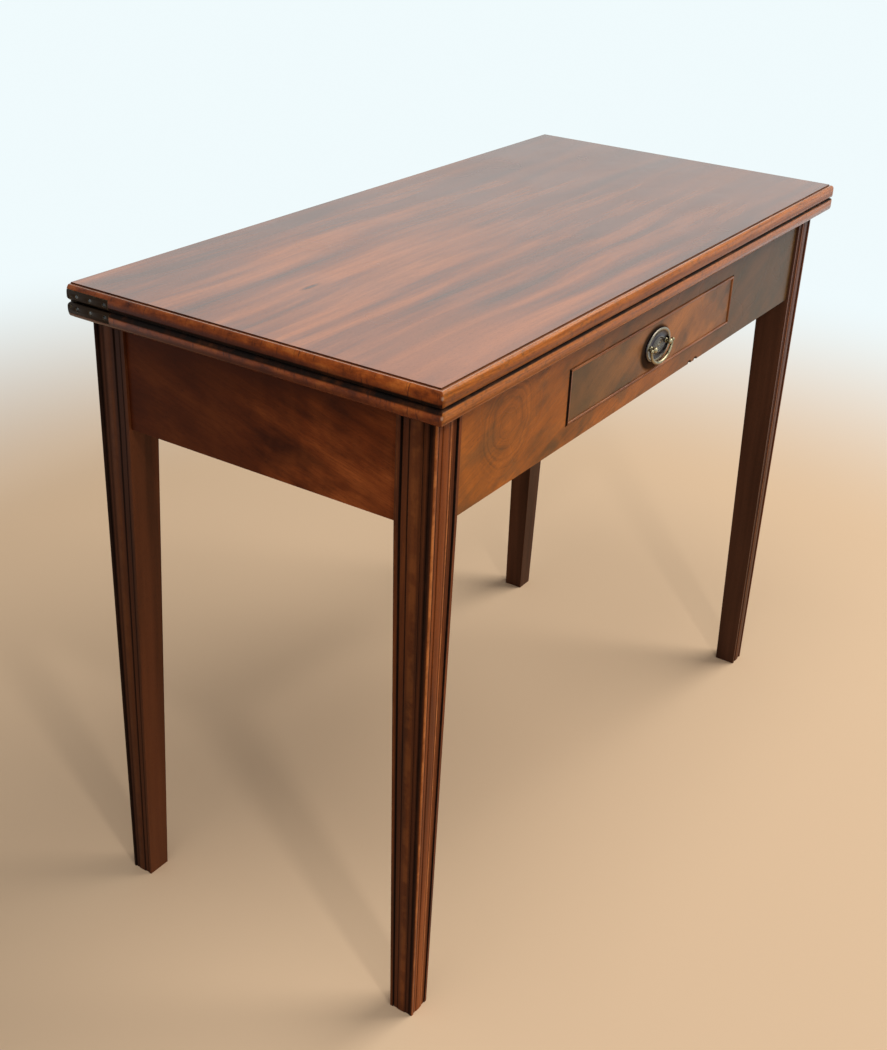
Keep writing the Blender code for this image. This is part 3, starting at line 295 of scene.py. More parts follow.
def lay_on(tree, shader, finish):
    """The colour, roughness and normal of a finish, led to the shader."""
    for socket, output in (("Base Color", "colour"), ("Roughness", "roughness"), ("Normal", "normal")):
        tree.links.new(finish[output], shader.inputs[socket])


def polish(tree, shader, place, colour, grain, worn, gloss, shine=0.2, age=1.0, rubbed=0.0, dirt=0.0):
    """An old wax polish over a wood's colour, with its wear and dirt."""
    lay_on(tree, shader, placed(tree, old_polish, place=place, colour=colour, worn=worn, pores=grain["pores"],
                                height=grain["height"], gloss=gloss, age=age, rubbed=rubbed, dirt=dirt))
    shader.inputs["Specular IOR Level"].default_value = shine


def add_object(name, data):
    """A new object in the scene."""
    made = bpy.data.objects.new(name, data)
    bpy.context.scene.collection.objects.link(made)
    return made


def as_mesh(name, bm):
    """A mesh made from a bmesh, which is used up."""
    mesh = bpy.data.meshes.new(name)
    bm.to_mesh(mesh)
    bm.free()
    return mesh


def carved(mesh, cutters):
    """A mesh with other meshes cut out of it."""
    block = add_object("block", mesh)
    tools = [add_object("cutter", cutter) for cutter in cutters]
    for tool in tools:
        cut = block.modifiers.new("cut", "BOOLEAN")
        cut.object = tool
        cut.solver = "EXACT"
    bpy.context.view_layer.update()
    result = bpy.data.meshes.new_from_object(block.evaluated_get(bpy.context.evaluated_depsgraph_get()))
    for made in [block] + tools:
        bpy.data.objects.remove(made)
    return result


def show(name, mesh, materials, body, slot, *replaced):
    """A finished piece in the scene: it rides on a body and may stand for CAD nodes. Its slot is not used."""
    mesh.name = name
    for material in materials:
        mesh.materials.append(material)
    piece = add_object(name, mesh)
    if replaced:
        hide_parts(*replaced)
    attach(piece, body)
    return piece


def bends(face):
    """Whether a face is one narrow facet of a rounded surface."""
    beside = [other for edge in face.edges for other in edge.link_faces if other is not face]
    turns = [face.normal.angle(other.normal, 0.0) for other in beside]
    return face.calc_area() < facet_area and any(facet_bends[0] < turn < facet_bends[1] for turn in turns)


def aged_copy(node, materials, ease, cutters=()):
    """A CAD piece with its arrises rubbed down and its inner corners filled with wax, both marked for its
    material, which darkens the inner corners as grime and painted shade."""
    bm = bmesh.new()
    bm.from_mesh(frame["nodes"][node].data)
    bmesh.ops.remove_doubles(bm, verts=bm.verts[:], dist=weld_distance)
    bmesh.ops.dissolve_limit(bm, angle_limit=flat_angle, verts=bm.verts[:], edges=bm.edges[:])
    mesh = bpy.data.meshes.new(node)
    if cutters:
        bm.to_mesh(mesh)
        mesh = carved(mesh, cutters)
        bm.clear()
        bm.from_mesh(mesh)
        bmesh.ops.remove_doubles(bm, verts=bm.verts[:], dist=weld_distance)
    for layer_name, width, way, rings in (("grime_and_shade", ease * 0.6, -1, 1), ("wear", ease, 1, 2)):
        layer = bm.loops.layers.float.new(layer_name)
        edges = [edge for edge in bm.edges
                 if edge.is_manifold and way * edge.calc_face_angle_signed() > arris_angle]
        rounds = bmesh.ops.bevel(bm, geom=edges, offset=width, segments=rings, profile=0.5, affect="EDGES",
                                 material=-1, clamp_overlap=True)
        for face in rounds["faces"]:
            for loop in face.loops:
                loop[layer] = 1.0
    layers = [bm.loops.layers.float[name] for name in ("grime_and_shade", "wear")]
    smooth = [any(face.loops[0][layer] for layer in layers) or bends(face) for face in bm.faces]
    bm.to_mesh(mesh)
    bm.free()
    mesh.materials.clear()
    mesh.set_sharp_from_angle(angle=crease_angle)
    mesh.polygons.foreach_set("use_smooth", smooth)
    return show(f"{node}_finished", mesh, materials, body_of[node], slot_of[node], node)


def deepest_line(tree, share, lines):
    """The depth of the lines along a moulding, each falling to nothing beside it."""
    depth = 0.0
    for middle, reach, most in lines:
        line = spread(tree, apart(tree, share, middle), reach * 0.25, reach, most, 0.0)
        depth = maths(tree, "MAXIMUM", depth, line)
    return depth


def leg_moulding_group():
    """A group for the moulded faces of a leg: how far across one a point lies, whether that face is on the
    table's end, and the lines along it: worn arrises with painted highlights, and dirt with painted shade."""
    group, given = new_group("leg_moulding", {"Vector": ["place", "arris"]},
                             {"Float": ["share", "on_end", "worn", "dirt"]})
    axes = axes_of(group, vector_maths(group, "SUBTRACT", given["place"], given["arris"]))
    across, back = maths(group, "ABSOLUTE", axes["X"]), maths(group, "ABSOLUTE", axes["Y"])
    size = add_node(group, "ShaderNodeMapRange", {"Value": axes["Z"], "From Min": 0.0, "From Max": taper_top,
                                                  "To Min": leg_foot_size, "To Max": leg_top_size}).outputs[0]
    share = maths(group, "DIVIDE", maths(group, "MAXIMUM", across, back), size)
    on_end = maths(group, "LESS_THAN", across, back)
    on_front = maths(group, "SUBTRACT", 1.0, on_end)
    marks = {}
    for mark, front_lines, end_lines in (("worn", front_worn, end_worn), ("dirt", front_dirt, end_dirt)):
        front = maths(group, "MULTIPLY", deepest_line(group, share, front_lines), on_front)
        end = maths(group, "MULTIPLY", deepest_line(group, share, end_lines), on_end)
        marks[mark] = maths(group, "ADD", front, end)
    add_node(group, "NodeGroupOutput", {"share": share, "on_end": on_end, **marks})
    return group


leg_moulding = leg_moulding_group()
for number, (node, depth, inside) in enumerate(legs):
    low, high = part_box(node)
    arris = (low.x if low.x < 0 else high.x, low.y if low.y < 0 else high.y, 0.0)
    material, tree, shader, place = start_material(f"{node}_mahogany")
    moulding = placed(tree, leg_moulding, place=place, arris=arris)
    grain = board_grain(tree, place, "Z", (2.2, 46.0, 46.0), 0.02, [step * number for step in leg_board_step])
    colour = tones(tree, grain["streak"], leg_tones)
    colour = blend(tree, spread(tree, grain["fine"], 0.35, 0.75, 0.0, 0.30), colour, leg_tones[0])
    # Painted shade: each leg is darkened by its share, its end faces more, and its top under the leaves.
    colour = blend(tree, depth, leg_tones[0], colour)
    colour = blend(tree, maths(tree, "MULTIPLY", moulding["on_end"], leg_end_painted_shade), colour, leg_tones[0])
    colour = darkened(tree, place, colour, leg_painted_shadow, leg_tones[0])
    plain = tones(tree, grain["streak"], [tuple(part * level for part in inside) for level in inside_levels])
    colour = blend(tree, spread(tree, moulding["share"], *inside_edge), colour, plain)
    polish(tree, shader, place, colour, grain, leg_worn, gloss=0.33, shine=0.07, age=depth,
           rubbed=moulding["worn"], dirt=moulding["dirt"])
    aged_copy(node, [material], leg_ease)


# The rails
# Wide boards between the legs, figured on the front, where the drawer's opening is sawn out, and plain on the
# ends. A branch grew where the front rail's left part swirls, and the rail's lower arris has lost two chips.

front_tones = ((0.165, 0.056, 0.0090), (0.380, 0.106, 0.0115), (0.55, 0.160, 0.018))
end_tones = ((0.060, 0.0130, 0.0045), (0.260, 0.059, 0.0150), (0.52, 0.140, 0.036))
rail_worn = (0.48, 0.20, 0.072)
rail_ease = 0.0006
front_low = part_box("front_rail")[0]
swirl_place = (-0.313, front_low.y, 0.636)
swirl_reach, swirl_rings, swirl_waver, swirl_depth = 0.072, 170.0, 0.014, 0.50
# The dark of the clouds in the figure, and the greenish grey of a painted sheen where the front is painted
# darker.
cloud_and_sheen_colour = (0.064, 0.052, 0.024)
# Painted shade: the front is painted darker towards its right.
front_painted_shade = ((-0.26, 0.0, 0.0), (0.42, 0.0, 0.0), 0.66)
upper_shade = ((0.0, 0.0, 0.6030), (0.0092, 0.0, 0.6403), 0.45)
# Painted shade: the ends are painted darker towards the back.
end_painted_shade = ((0.0, -0.16, 0.0), (0.0, 0.10, 0.0), 0.80)
# The painted shadow of the leaves along the top of the ends.
under_leaf_painted_shadow = ((0.0, 0.0, 0.645), (0.0, 0.0, 0.682), 0.78)
opening_half, opening_low, opening_high = 0.1985, 0.5935, 0.6535
# Dirt and the painted shadow of the gap darken the rail round the drawer's opening.
rail_dirt = {"clean": 0.0018, "dirty": 0.0008, "rise": 0.0011}
chip_places = [Vector((across, front_low.y, front_low.z)) for across in (0.0965, 0.1125)]
chip_reach = (0.0045, 0.0040, 0.0028)
# The chips are darkened by dirt and painted shade.
chip_stains_and_shade = [(place, (0.0060, 0.0050, 0.0042)) for place in chip_places]


def opening_edge_group():
    """A group for dirt and painted shadow along the edge of the drawer's opening, by the distances outside it
    where the wood is clean and darkest. Along the top and the bottom the distance is raised."""
    group, given = new_group("opening_edge", {"Vector": ["place"], "Float": ["clean", "dirty", "rise"]},
                             {"Float": ["dirt"]})
    axes = axes_of(group, given["place"])
    middle, half = (opening_low + opening_high) / 2, (opening_high - opening_low) / 2
    beside = maths(group, "SUBTRACT", maths(group, "ABSOLUTE", axes["X"]), opening_half)
    above = maths(group, "SUBTRACT", apart(group, axes["Z"], middle), half)
    outside = maths(group, "MAXIMUM", beside, maths(group, "ADD", above, given["rise"]))
    add_node(group, "NodeGroupOutput", {"dirt": spread(group, outside, given["clean"], given["dirty"])})
    return group


def spot_group():
    """A group for a spot that keeps its depth to a share of its reach and is nothing at its edge."""
    group, given = new_group("spot", {"Vector": ["place", "middle", "reach"], "Float": ["full", "depth"]},
                             {"Float": ["share"]})
    away = vector_maths(group, "SUBTRACT", given["place"], given["middle"])
    length = vector_maths(group, "LENGTH", vector_maths(group, "DIVIDE", away, given["reach"]))
    share = spread(group, length, given["full"], 1.0, given["depth"], 0.0)
    add_node(group, "NodeGroupOutput", {"share": share})
    return group


opening_edge = opening_edge_group()
spot = spot_group()


def swirled(tree, place, streak):
    """A board's streaks, bent into rings round the place where a branch grew."""
    away = vector_maths(tree, "DISTANCE", place, swirl_place)
    waver = maths(tree, "MULTIPLY", even_noise(tree, place, 45.0), swirl_waver)
    round_it = maths(tree, "MULTIPLY", maths(tree, "ADD", away, waver), swirl_rings)
    rings = add_node(tree, "ShaderNodeTexNoise", {"W": round_it, "Scale": 1.0, "Detail": 2.5,
                                                  "Roughness": 0.6}, noise_dimensions="1D").outputs[0]
    share = spread(tree, away, swirl_reach * 0.55, swirl_reach, swirl_depth, 0.0)
    return maths(tree, "ADD", streak, maths(tree, "MULTIPLY", share, maths(tree, "SUBTRACT", rings, streak)))


def figured_board(name, along, colours, dark, stretch, wander, shift, slant, fine, gloss, shine, shades=(),
                  swirl=False, stains_and_shadows=(), edge=None):
    """A board with a broad wavy figure and a mottle across it, with its own painted shade, and its stains and
    dirt with painted shadows.
    """
    material, tree, shader, place = start_material(name)
    grain = board_grain(tree, place, along, stretch, wander, shift, slant)
    streak = swirled(tree, place, grain["streak"]) if swirl else grain["streak"]
    colour = tones(tree, streak, colours)
    colour = blend(tree, spread(tree, grain["mottle"], 0.40, 0.68, 0.0, 0.35), colour, colours[2])
    clouds = noise(tree, place, (14.0, 14.0, 22.0), 3.0, 0.6)
    colour = blend(tree, spread(tree, clouds, 0.50, 0.68, 0.0, 0.40), colour, dark)
    colour = blend(tree, spread(tree, grain["fine"], 0.35, 0.70, 0.0, fine), colour, dark)
    for shade in shades:
        colour = darkened(tree, place, colour, shade, dark)
    dirt = placed(tree, opening_edge, place=place, **edge)["dirt"] if edge else 0.0
    for middle, reach in stains_and_shadows:
        dark_spot = placed(tree, spot, place=place, middle=middle, reach=reach, full=0.82, depth=0.9)
        dirt = maths(tree, "MAXIMUM", dirt, dark_spot["share"])
    polish(tree, shader, place, colour, grain, rail_worn, gloss, shine, age=0.7, dirt=dirt)
    return material


def chip(place, reach):
    """A lump to cut a chip out of an arris."""
    bm = bmesh.new()
    bmesh.ops.create_icosphere(bm, subdivisions=1, radius=1.0,
                               matrix=Matrix.Translation(place) @ Matrix.Diagonal((*reach, 1.0)))
    return as_mesh("chip", bm)


front_rail_wood = figured_board(
    "front_rail_mahogany", "X", front_tones, cloud_and_sheen_colour, stretch=(9.0, 44.0, 44.0), wander=0.06,
    shift=(0.4, 0.0, 0.3), slant=0.35, fine=0.26, gloss=0.28, shine=0.09, shades=(front_painted_shade, upper_shade),
    swirl=True, stains_and_shadows=chip_stains_and_shade, edge=rail_dirt)
end_rail_wood = figured_board(
    "end_rail_mahogany", "Y", end_tones, end_tones[0], stretch=(9.0, 30.0, 30.0), wander=0.09,
    shift=(1.4, 0.6, 0.2), slant=-0.25, fine=0.35, gloss=0.40, shine=0.05,
    shades=(end_painted_shade, under_leaf_painted_shadow))
aged_copy("front_rail", [front_rail_wood], rail_ease, [chip(place, chip_reach) for place in chip_places])
for end in ("left", "right"):
    aged_copy(f"end_rail_{end}", [end_rail_wood], rail_ease)


# The carcase
# Dry unpolished oak: the inner back rail, the outer one in two halves on a wooden knuckle joint with an iron
# pin, and the wood round the drawer. Glue blocks hold the top, and three screws the outer rail's fixed half.

oak_tones = ((0.170, 0.080, 0.036), (0.300, 0.154, 0.070), (0.41, 0.235, 0.115))
iron_dark, iron_bright = (0.075, 0.068, 0.064), (0.28, 0.26, 0.24)
pin_ease = 0.0003
rail_screw_places = (0.115, 0.245, 0.375)
rail_screw_rise, rail_screw_scale, rail_slot_step = 0.028, 1.6, 1.1
screw_profile = ((0.0, 0.00055), (0.0011, 0.0005), (0.0017, 0.00032), (0.0020, 0.0), (0.0013, -0.0008),
                 (0.0010, -0.0016), (0.0, -0.0016))
sink_profile = ((0.0, 0.0010), (0.0026, 0.0010), (0.0024, 0.0), (0.0021, -0.0007), (0.0012, -0.0018),
                (0.0, -0.0018))
screw_steps = 24
slot_width, slot_depth, slot_reach, head_sink = 0.0005, 0.0005, 0.0048, 0.0006


def oak_material(name, along, shift=(0.0, 0.0, 0.0)):
    """Old bare oak: straight open grain, rays and brown dirt."""
    material, tree, shader, place = start_material(name)
    grain = board_grain(tree, place, along, (3.0, 95.0, 95.0), 0.012, shift)
    colour = tones(tree, grain["streak"], oak_tones, (0.32, 0.5, 0.7))
    rays = even_noise(tree, place, 30.0, 3.0, 0.6)
    colour = blend(tree, spread(tree, rays, 0.45, 0.75, 0.0, 0.5), colour, oak_tones[0])
    polish(tree, shader, place, colour, grain, oak_tones[2], gloss=0.66, age=0.5)
    return material


def tarnish_group():
    """A group for metal with a dark tarnish that hands have rubbed through in places, where they touch it."""
    inputs = {"Vector": ["place"], "Color": ["dark", "bright"],
              "Float": ["tarnish", "gloss", "touched", "polished"]}
    group, given = new_group("tarnish", inputs, finish_outputs)
    clouds = even_noise(group, given["place"], 150.0, 4.0, 0.65)
    ends = [maths(group, "ADD", given["tarnish"], step) for step in (-0.16, 0.16)]
    rubbed = spread(group, clouds, *ends, 0.0, 0.55)
    wear = add_node(group, "ShaderNodeAttribute", attribute_name="wear").outputs["Fac"]
    rubbed = maths(group, "MAXIMUM", rubbed, maths(group, "MULTIPLY", wear, 0.75))
    rubbed = maths(group, "MAXIMUM", maths(group, "MULTIPLY", rubbed, given["touched"]), given["polished"])
    colour = blend(group, rubbed, given["dark"], given["bright"])
    rough = maths(group, "ADD", given["gloss"], spread(group, clouds, 0.3, 0.7, -0.08, 0.14))
    pits = even_noise(group, given["place"], 1600.0)
    bump = add_node(group, "ShaderNodeBump", {"Height": pits, "Strength": 0.12, "Distance": 0.00003})
    add_node(group, "NodeGroupOutput", {"colour": colour, "roughness": rough, "normal": bump.outputs[0]})
    return group


tarnish_on = tarnish_group()


def old_metal(name, dark, bright, tarnish, gloss, crests=None):
    """Tarnished metal. On a stamping, hands reach the crests and leave the hollows, by their Y."""
    material, tree, shader, place = start_material(name)
    touched, polished = 1.0, 0.0
    if crests:
        out = axes_of(tree, place)["Y"]
        touched, polished = spread(tree, out, *crests, 1.0, 0.25), spread(tree, out, *crests, 0.8, 0.0)
    lay_on(tree, shader, placed(tree, tarnish_on, place=place, dark=dark, bright=bright, tarnish=tarnish,
                                gloss=gloss, touched=touched, polished=polished))
    shader.inputs["Metallic"].default_value = 1.0
    return material


def turned(profile, steps):
    """A piece turned round +Z from a profile of (radius, height) points, as a bmesh."""
    bm = bmesh.new()
    points = [bm.verts.new((radius, 0.0, height)) for radius, height in profile]
    lines = [bm.edges.new(pair) for pair in zip(points, points[1:])]
    bmesh.ops.spin(bm, geom=points + lines, cent=(0, 0, 0), axis=(0, 0, 1), angle=2 * math.pi, steps=steps,
                   use_merge=True)
    bmesh.ops.remove_doubles(bm, verts=bm.verts[:], dist=0.000001)
    bmesh.ops.recalc_face_normals(bm, faces=bm.faces[:])
    return bm


def finished(bm, turn=Matrix.Identity(4), crease=40.0):
    """A mesh from a bmesh, moved by a matrix and shaded."""
    bm.transform(turn)
    mesh = as_mesh("piece", bm)
    mesh.shade_smooth()
    mesh.set_sharp_from_angle(angle=math.radians(crease))
    return mesh


def joined(meshes):
    """Several meshes as one."""
    bm = bmesh.new()
    for mesh in meshes:
        bm.from_mesh(mesh)
    return finished(bm)


def facing(place, outward):
    """A matrix that stands a turned piece at a place with its head outward."""
    return Matrix.Translation(place) @ Vector(outward).to_track_quat("Z", "Y").to_matrix().to_4x4()


def slotted_head(turn, slot_angle):
    """A screw head with a filed slot, facing the way that its matrix turns +Z."""
    file = bmesh.new()
    top = Matrix.Translation((0.0, 0.0, screw_profile[0][1]))
    size = Matrix.Diagonal((slot_reach, slot_width, slot_depth * 2, 1.0))
    bmesh.ops.create_cube(file, size=1.0, matrix=Matrix.Rotation(slot_angle, 4, "Z") @ top @ size)
    head = carved(finished(turned(screw_profile, screw_steps)), [finished(file)])
    head.transform(turn)
    return head


def screw_sinks(spots, outward, scale=1.0):
    """Countersunk holes, as meshes to cut with."""
    return [finished(turned(sink_profile, screw_steps), facing(spot, outward) @ Matrix.Scale(scale, 4))
            for spot in spots]


def screw_heads(spots, outward, slot_start, slot_step, scale=1.0):
    """Slotted heads sunk a little in their holes, each with its slot turned further than the last."""
    heads = []
    for number, spot in enumerate(spots):
        sunk = Vector(spot) - head_sink * Vector(outward)
        turn = facing(sunk, outward) @ Matrix.Scale(scale, 4)
        heads.append(slotted_head(turn, slot_start + number * slot_step))
    return joined(heads)


oak_across = oak_material("oak_rails", "X")
oak_back = oak_material("oak_beams", "Y", (0.3, 0.1, 0.0))
iron = old_metal("iron", iron_dark, iron_bright, tarnish=0.62, gloss=0.48)
aged_copy("inner_back_rail", [oak_across], rail_ease)
fixed_low, fixed_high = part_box("knuckle_rail_fixed")
rail_middle = (fixed_low.z + fixed_high.z) / 2
spots = [(across, fixed_high.y, rail_middle + rail_screw_rise * (-1) ** number)
         for number, across in enumerate(rail_screw_places)]
backward = (0, 1, 0)
aged_copy("knuckle_rail_fixed", [oak_across], rail_ease, screw_sinks(spots, backward, rail_screw_scale))
heads = screw_heads(spots, backward, 0.0, rail_slot_step, rail_screw_scale)
show("knuckle_rail_screws", heads, [iron], "frame", slot_of["knuckle_pin"])
aged_copy("fly_rail", [oak_across], rail_ease)
aged_copy("knuckle_pin", [iron], pin_ease)
for end in ("left", "right"):
    for part in ("drawer_runner", "drawer_kicker", "drawer_guide", "drawer_stop", "glue_block_end"):
        aged_copy(f"{part}_{end}", [oak_back], rail_ease)
    for part in ("glue_block_front", "glue_block_back"):
        aged_copy(f"{part}_{end}", [oak_across], rail_ease)


# The top
# Two leaves, the upper folded over on the lower, each a wide board of streaked mahogany moulded on its front
# and ends: a sunk ledge with a painted highlight on its arris and a round nose, painted darker below as shade
# and with painted glints at the corners. The field is painted darker towards its far right and paler at its
# near corner, as shade and light.

field_tones = ((0.155, 0.068, 0.041), (0.275, 0.092, 0.040), (0.48, 0.155, 0.049))
# Painted shade: the field is painted darker towards its far right.
field_painted_shade = ((-0.30, -0.15, 0.0), (0.42, 0.20, 0.0), 0.75)
# A mark on the field is (middle, reach, depth, colour): a knot, a glow beside the middle and a painted light
# on the near corner.
field_marks = (((-0.3158, 0.0332, 0.717), (0.020, 0.0048, 0.05), 0.75, leg_tones[0]),
               ((-0.0548, 0.0264, 0.717), (0.050, 0.0160, 0.05), 0.35, field_tones[2]),
               ((-0.37, -0.17, 0.717), (0.20, 0.090, 0.05), 0.45, field_tones[2]))
moulding_tones = ((0.215, 0.058, 0.009), (0.45, 0.130, 0.018), (0.62, 0.20, 0.034))
end_moulding_tones = ((0.070, 0.014, 0.005), (0.42, 0.095, 0.017), (0.74, 0.230, 0.045))
under_tones = ((0.060, 0.022, 0.010), (0.120, 0.045, 0.020), (0.19, 0.080, 0.038))
# Painted shade: the end mouldings are painted darker towards the back.
edge_painted_shade = ((0.0, -0.17, 0.0), (0.0, 0.06, 0.0), 0.28)
# Painted glints: pale spots on the corners of the noses.
corner_painted_glint, corner_glint_reach = (0.95, 0.74, 0.56), 0.0030
corner_level, corner_squat = 0.60, 0.8
ledge_inset, ledge_shadow, ledge_drop = 0.0060, 0.0005, 0.0020
# A painted highlight along the ledge's arris.
ledge_arris, ledge_painted_highlight, ledge_highlight_reach = 0.0040, (0.60, 0.47, 0.38), (0.0003, 0.0008)
# Painted shade on the lower part of each nose, deeper towards the back on the ends.
under_nose_levels = (0.35, 0.65)
back_reach, back_dirt = 0.25, 0.9
# Dirt and painted shade in the joint between the leaves.
front_joint, end_joint = (0.0013, 0.0029), (0.0036, 0.0060)
leaf_ease = 0.0003
front_faces, end_faces, inner_faces, outer_faces = range(4)
# A leaf is (name, shift of its figure, front shine, painted shade low on the front, end shine, painted shade
# low on the ends).
leaves = (("lower_leaf", (0.7, 0.35, 0.2), 0.18, 0.30, 0.14, 0.60),
          ("upper_leaf", (0.0, 0.0, 0.0), 0.10, 0.45, 0.06, 0.45))


def field_material(name, shift, marks=()):
    """The polished face of a leaf: long soft streaks, paler and darker, the marks on it and painted shade."""
    material, tree, shader, place = start_material(name)
    grain = board_grain(tree, place, "X", (2.6, 44.0, 44.0), 0.05, shift)
    broad = maths(tree, "MULTIPLY", noise(tree, place, (1.6, 8.0, 8.0)), 0.3)
    streak = maths(tree, "ADD", maths(tree, "MULTIPLY", grain["streak"], 0.7), broad)
    colour = tones(tree, streak, field_tones, (0.38, 0.50, 0.64))
    colour = blend(tree, spread(tree, grain["fine"], 0.35, 0.75, 0.0, 0.28), colour, field_tones[0])
    for middle, reach, depth, mark_colour in marks:
        mark = placed(tree, spot, place=place, middle=middle, reach=reach, full=0.2, depth=depth)
        colour = blend(tree, mark["share"], colour, mark_colour)
    colour = darkened(tree, place, colour, field_painted_shade, field_tones[0])
    polish(tree, shader, place, colour, grain, field_tones[2], gloss=0.25, shine=0.95, age=0.5)
    return material


def end_grain(tree, place):
    """The colour of a moulding on end grain: mottled, with fine dark ticks and painted shade towards the
    back.
    """
    patches = noise(tree, place, (150.0, 46.0, 90.0), 3.0, 0.65)
    ticks = noise(tree, place, (60.0, 420.0, 60.0), 2.0, 0.6)
    colour = tones(tree, patches, end_moulding_tones, (0.24, 0.52, 0.78))
    colour = blend(tree, spread(tree, ticks, 0.56, 0.70, 0.0, 0.7), colour, leg_tones[0])
    return darkened(tree, place, colour, edge_painted_shade, end_moulding_tones[0])


def long_grain(tree, place, grain):
    """The colour of a moulding along the grain: smooth, with a few dark specks."""
    colour = tones(tree, grain["fine"], moulding_tones, (0.20, 0.48, 0.80))
    colour = blend(tree, spread(tree, grain["streak"], 0.5, 0.75, 0.0, 0.35), colour, moulding_tones[0])
    specks = noise(tree, place, (150.0, 260.0, 260.0), 3.0, 0.65)
    return blend(tree, spread(tree, specks, 0.48, 0.70, 0.0, 0.42), colour, cloud_and_sheen_colour)


def moulding_material(name, leaf, shift, at_end, shine, low_dirt):
    """A leaf's edge: painted highlights at the corners and on the ledge's arris, painted shade below, and
    dirt with painted shade in the ledge's step and in the joint between the leaves."""
    material, tree, shader, place = start_material(name)
    grain = board_grain(tree, place, "X", (5.0, 60.0, 60.0), 0.02, shift)
    low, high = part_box(leaf)
    thick = high.z - low.z
    axes = axes_of(tree, place)
    from_end = maths(tree, "SUBTRACT", high.x, maths(tree, "ABSOLUTE", axes["X"]))
    from_front = maths(tree, "SUBTRACT", axes["Y"], low.y)
    level = maths(tree, "SUBTRACT", axes["Z"], low.z)
    inset = maths(tree, "MINIMUM", from_end, from_front)
    colour = end_grain(tree, place) if at_end else long_grain(tree, place, grain)
    # Painted shade on the lower part of the nose.
    under_nose = spread(tree, level, *[thick * share for share in under_nose_levels], 1.0, 0.0)
    depth = spread(tree, from_front, 0.0, back_reach, low_dirt, back_dirt) if at_end else low_dirt
    colour = blend(tree, maths(tree, "MULTIPLY", under_nose, depth), colour, end_moulding_tones[0])
    # A painted glint on the corner of the nose.
    nose = maths(tree, "MULTIPLY", maths(tree, "SUBTRACT", level, thick * corner_level), corner_squat)
    off = add_node(tree, "ShaderNodeCombineXYZ", {"X": from_end, "Y": from_front, "Z": nose}).outputs[0]
    painted_highlight = spread(tree, vector_maths(tree, "LENGTH", off), corner_glint_reach * 0.35, corner_glint_reach, 0.95, 0.0)
    colour = blend(tree, painted_highlight, colour, corner_painted_glint)
    # A painted highlight along the ledge's arris, on the nose's upper part.
    painted_highlight = spread(tree, apart(tree, inset, ledge_arris), *ledge_highlight_reach, 0.6, 0.0)
    painted_highlight = maths(tree, "MULTIPLY", painted_highlight, maths(tree, "SUBTRACT", 1.0, under_nose))
    colour = blend(tree, painted_highlight, colour, ledge_painted_highlight)
    # Dirt and painted shadow in the ledge's step, and dirt and painted shade in the joint between the leaves.
    in_step = spread(tree, apart(tree, inset, ledge_inset), ledge_shadow, ledge_shadow * 2.2, 0.75, 0.0)
    joint = end_joint if at_end else front_joint
    in_joint = spread(tree, apart(tree, axes["Z"], meeting_height), *joint, 1.0, 0.0)
    polish(tree, shader, place, colour, grain, moulding_tones[2], gloss=0.22, shine=shine, age=0.6,
           dirt=maths(tree, "MAXIMUM", in_step, in_joint))
    return material


def under_material():
    """The lower leaf's underside, planed but never polished."""
    material, tree, shader, place = start_material("underside_mahogany")
    grain = board_grain(tree, place, "X", (2.6, 40.0, 40.0), 0.04, (1.9, 0.4, 0.1))
    colour = tones(tree, grain["streak"], under_tones)
    polish(tree, shader, place, colour, grain, under_tones[2], gloss=0.6, age=0.4)
    return material


meeting_height = (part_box("lower_leaf")[1].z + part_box("upper_leaf")[0].z) / 2
for leaf, shift, front_shine, front_low_dirt, end_shine, end_low_dirt in leaves:
    upper = leaf == "upper_leaf"
    front_wood = moulding_material(f"{leaf}_front_moulding", leaf, shift, False, front_shine, front_low_dirt)
    end_wood = moulding_material(f"{leaf}_end_moulding", leaf, shift, True, end_shine, end_low_dirt)
    inner_field = field_material(f"{leaf}_inner_field", (shift[0] + 0.5, shift[1], 0.0))
    outer_field = field_material("upper_leaf_field", shift, field_marks) if upper else under_material()
    piece = aged_copy(leaf, [front_wood, end_wood, inner_field, outer_field], leaf_ease)
    low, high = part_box(leaf)
    outer_level, inner_level = (high.z, low.z) if upper else (low.z, high.z)
    for face in piece.data.polygons:
        level = abs(face.normal.z) > 0.999
        if level and abs(face.center.z - outer_level) < ledge_drop:
            face.material_index = outer_faces
        elif level and abs(face.center.z - inner_level) < ledge_shadow:
            face.material_index = inner_faces
        elif high.x - abs(face.center.x) < face.center.y - low.y:
            face.material_index = end_faces
        else:
            face.material_index = front_faces


# The hinges
# Brass card-table hinges let into the ends of the leaves and filed to the moulding, now nearly black. Three
# slotted screws hold each plate in countersunk holes, and a hidden link on two pins joins the two plates.

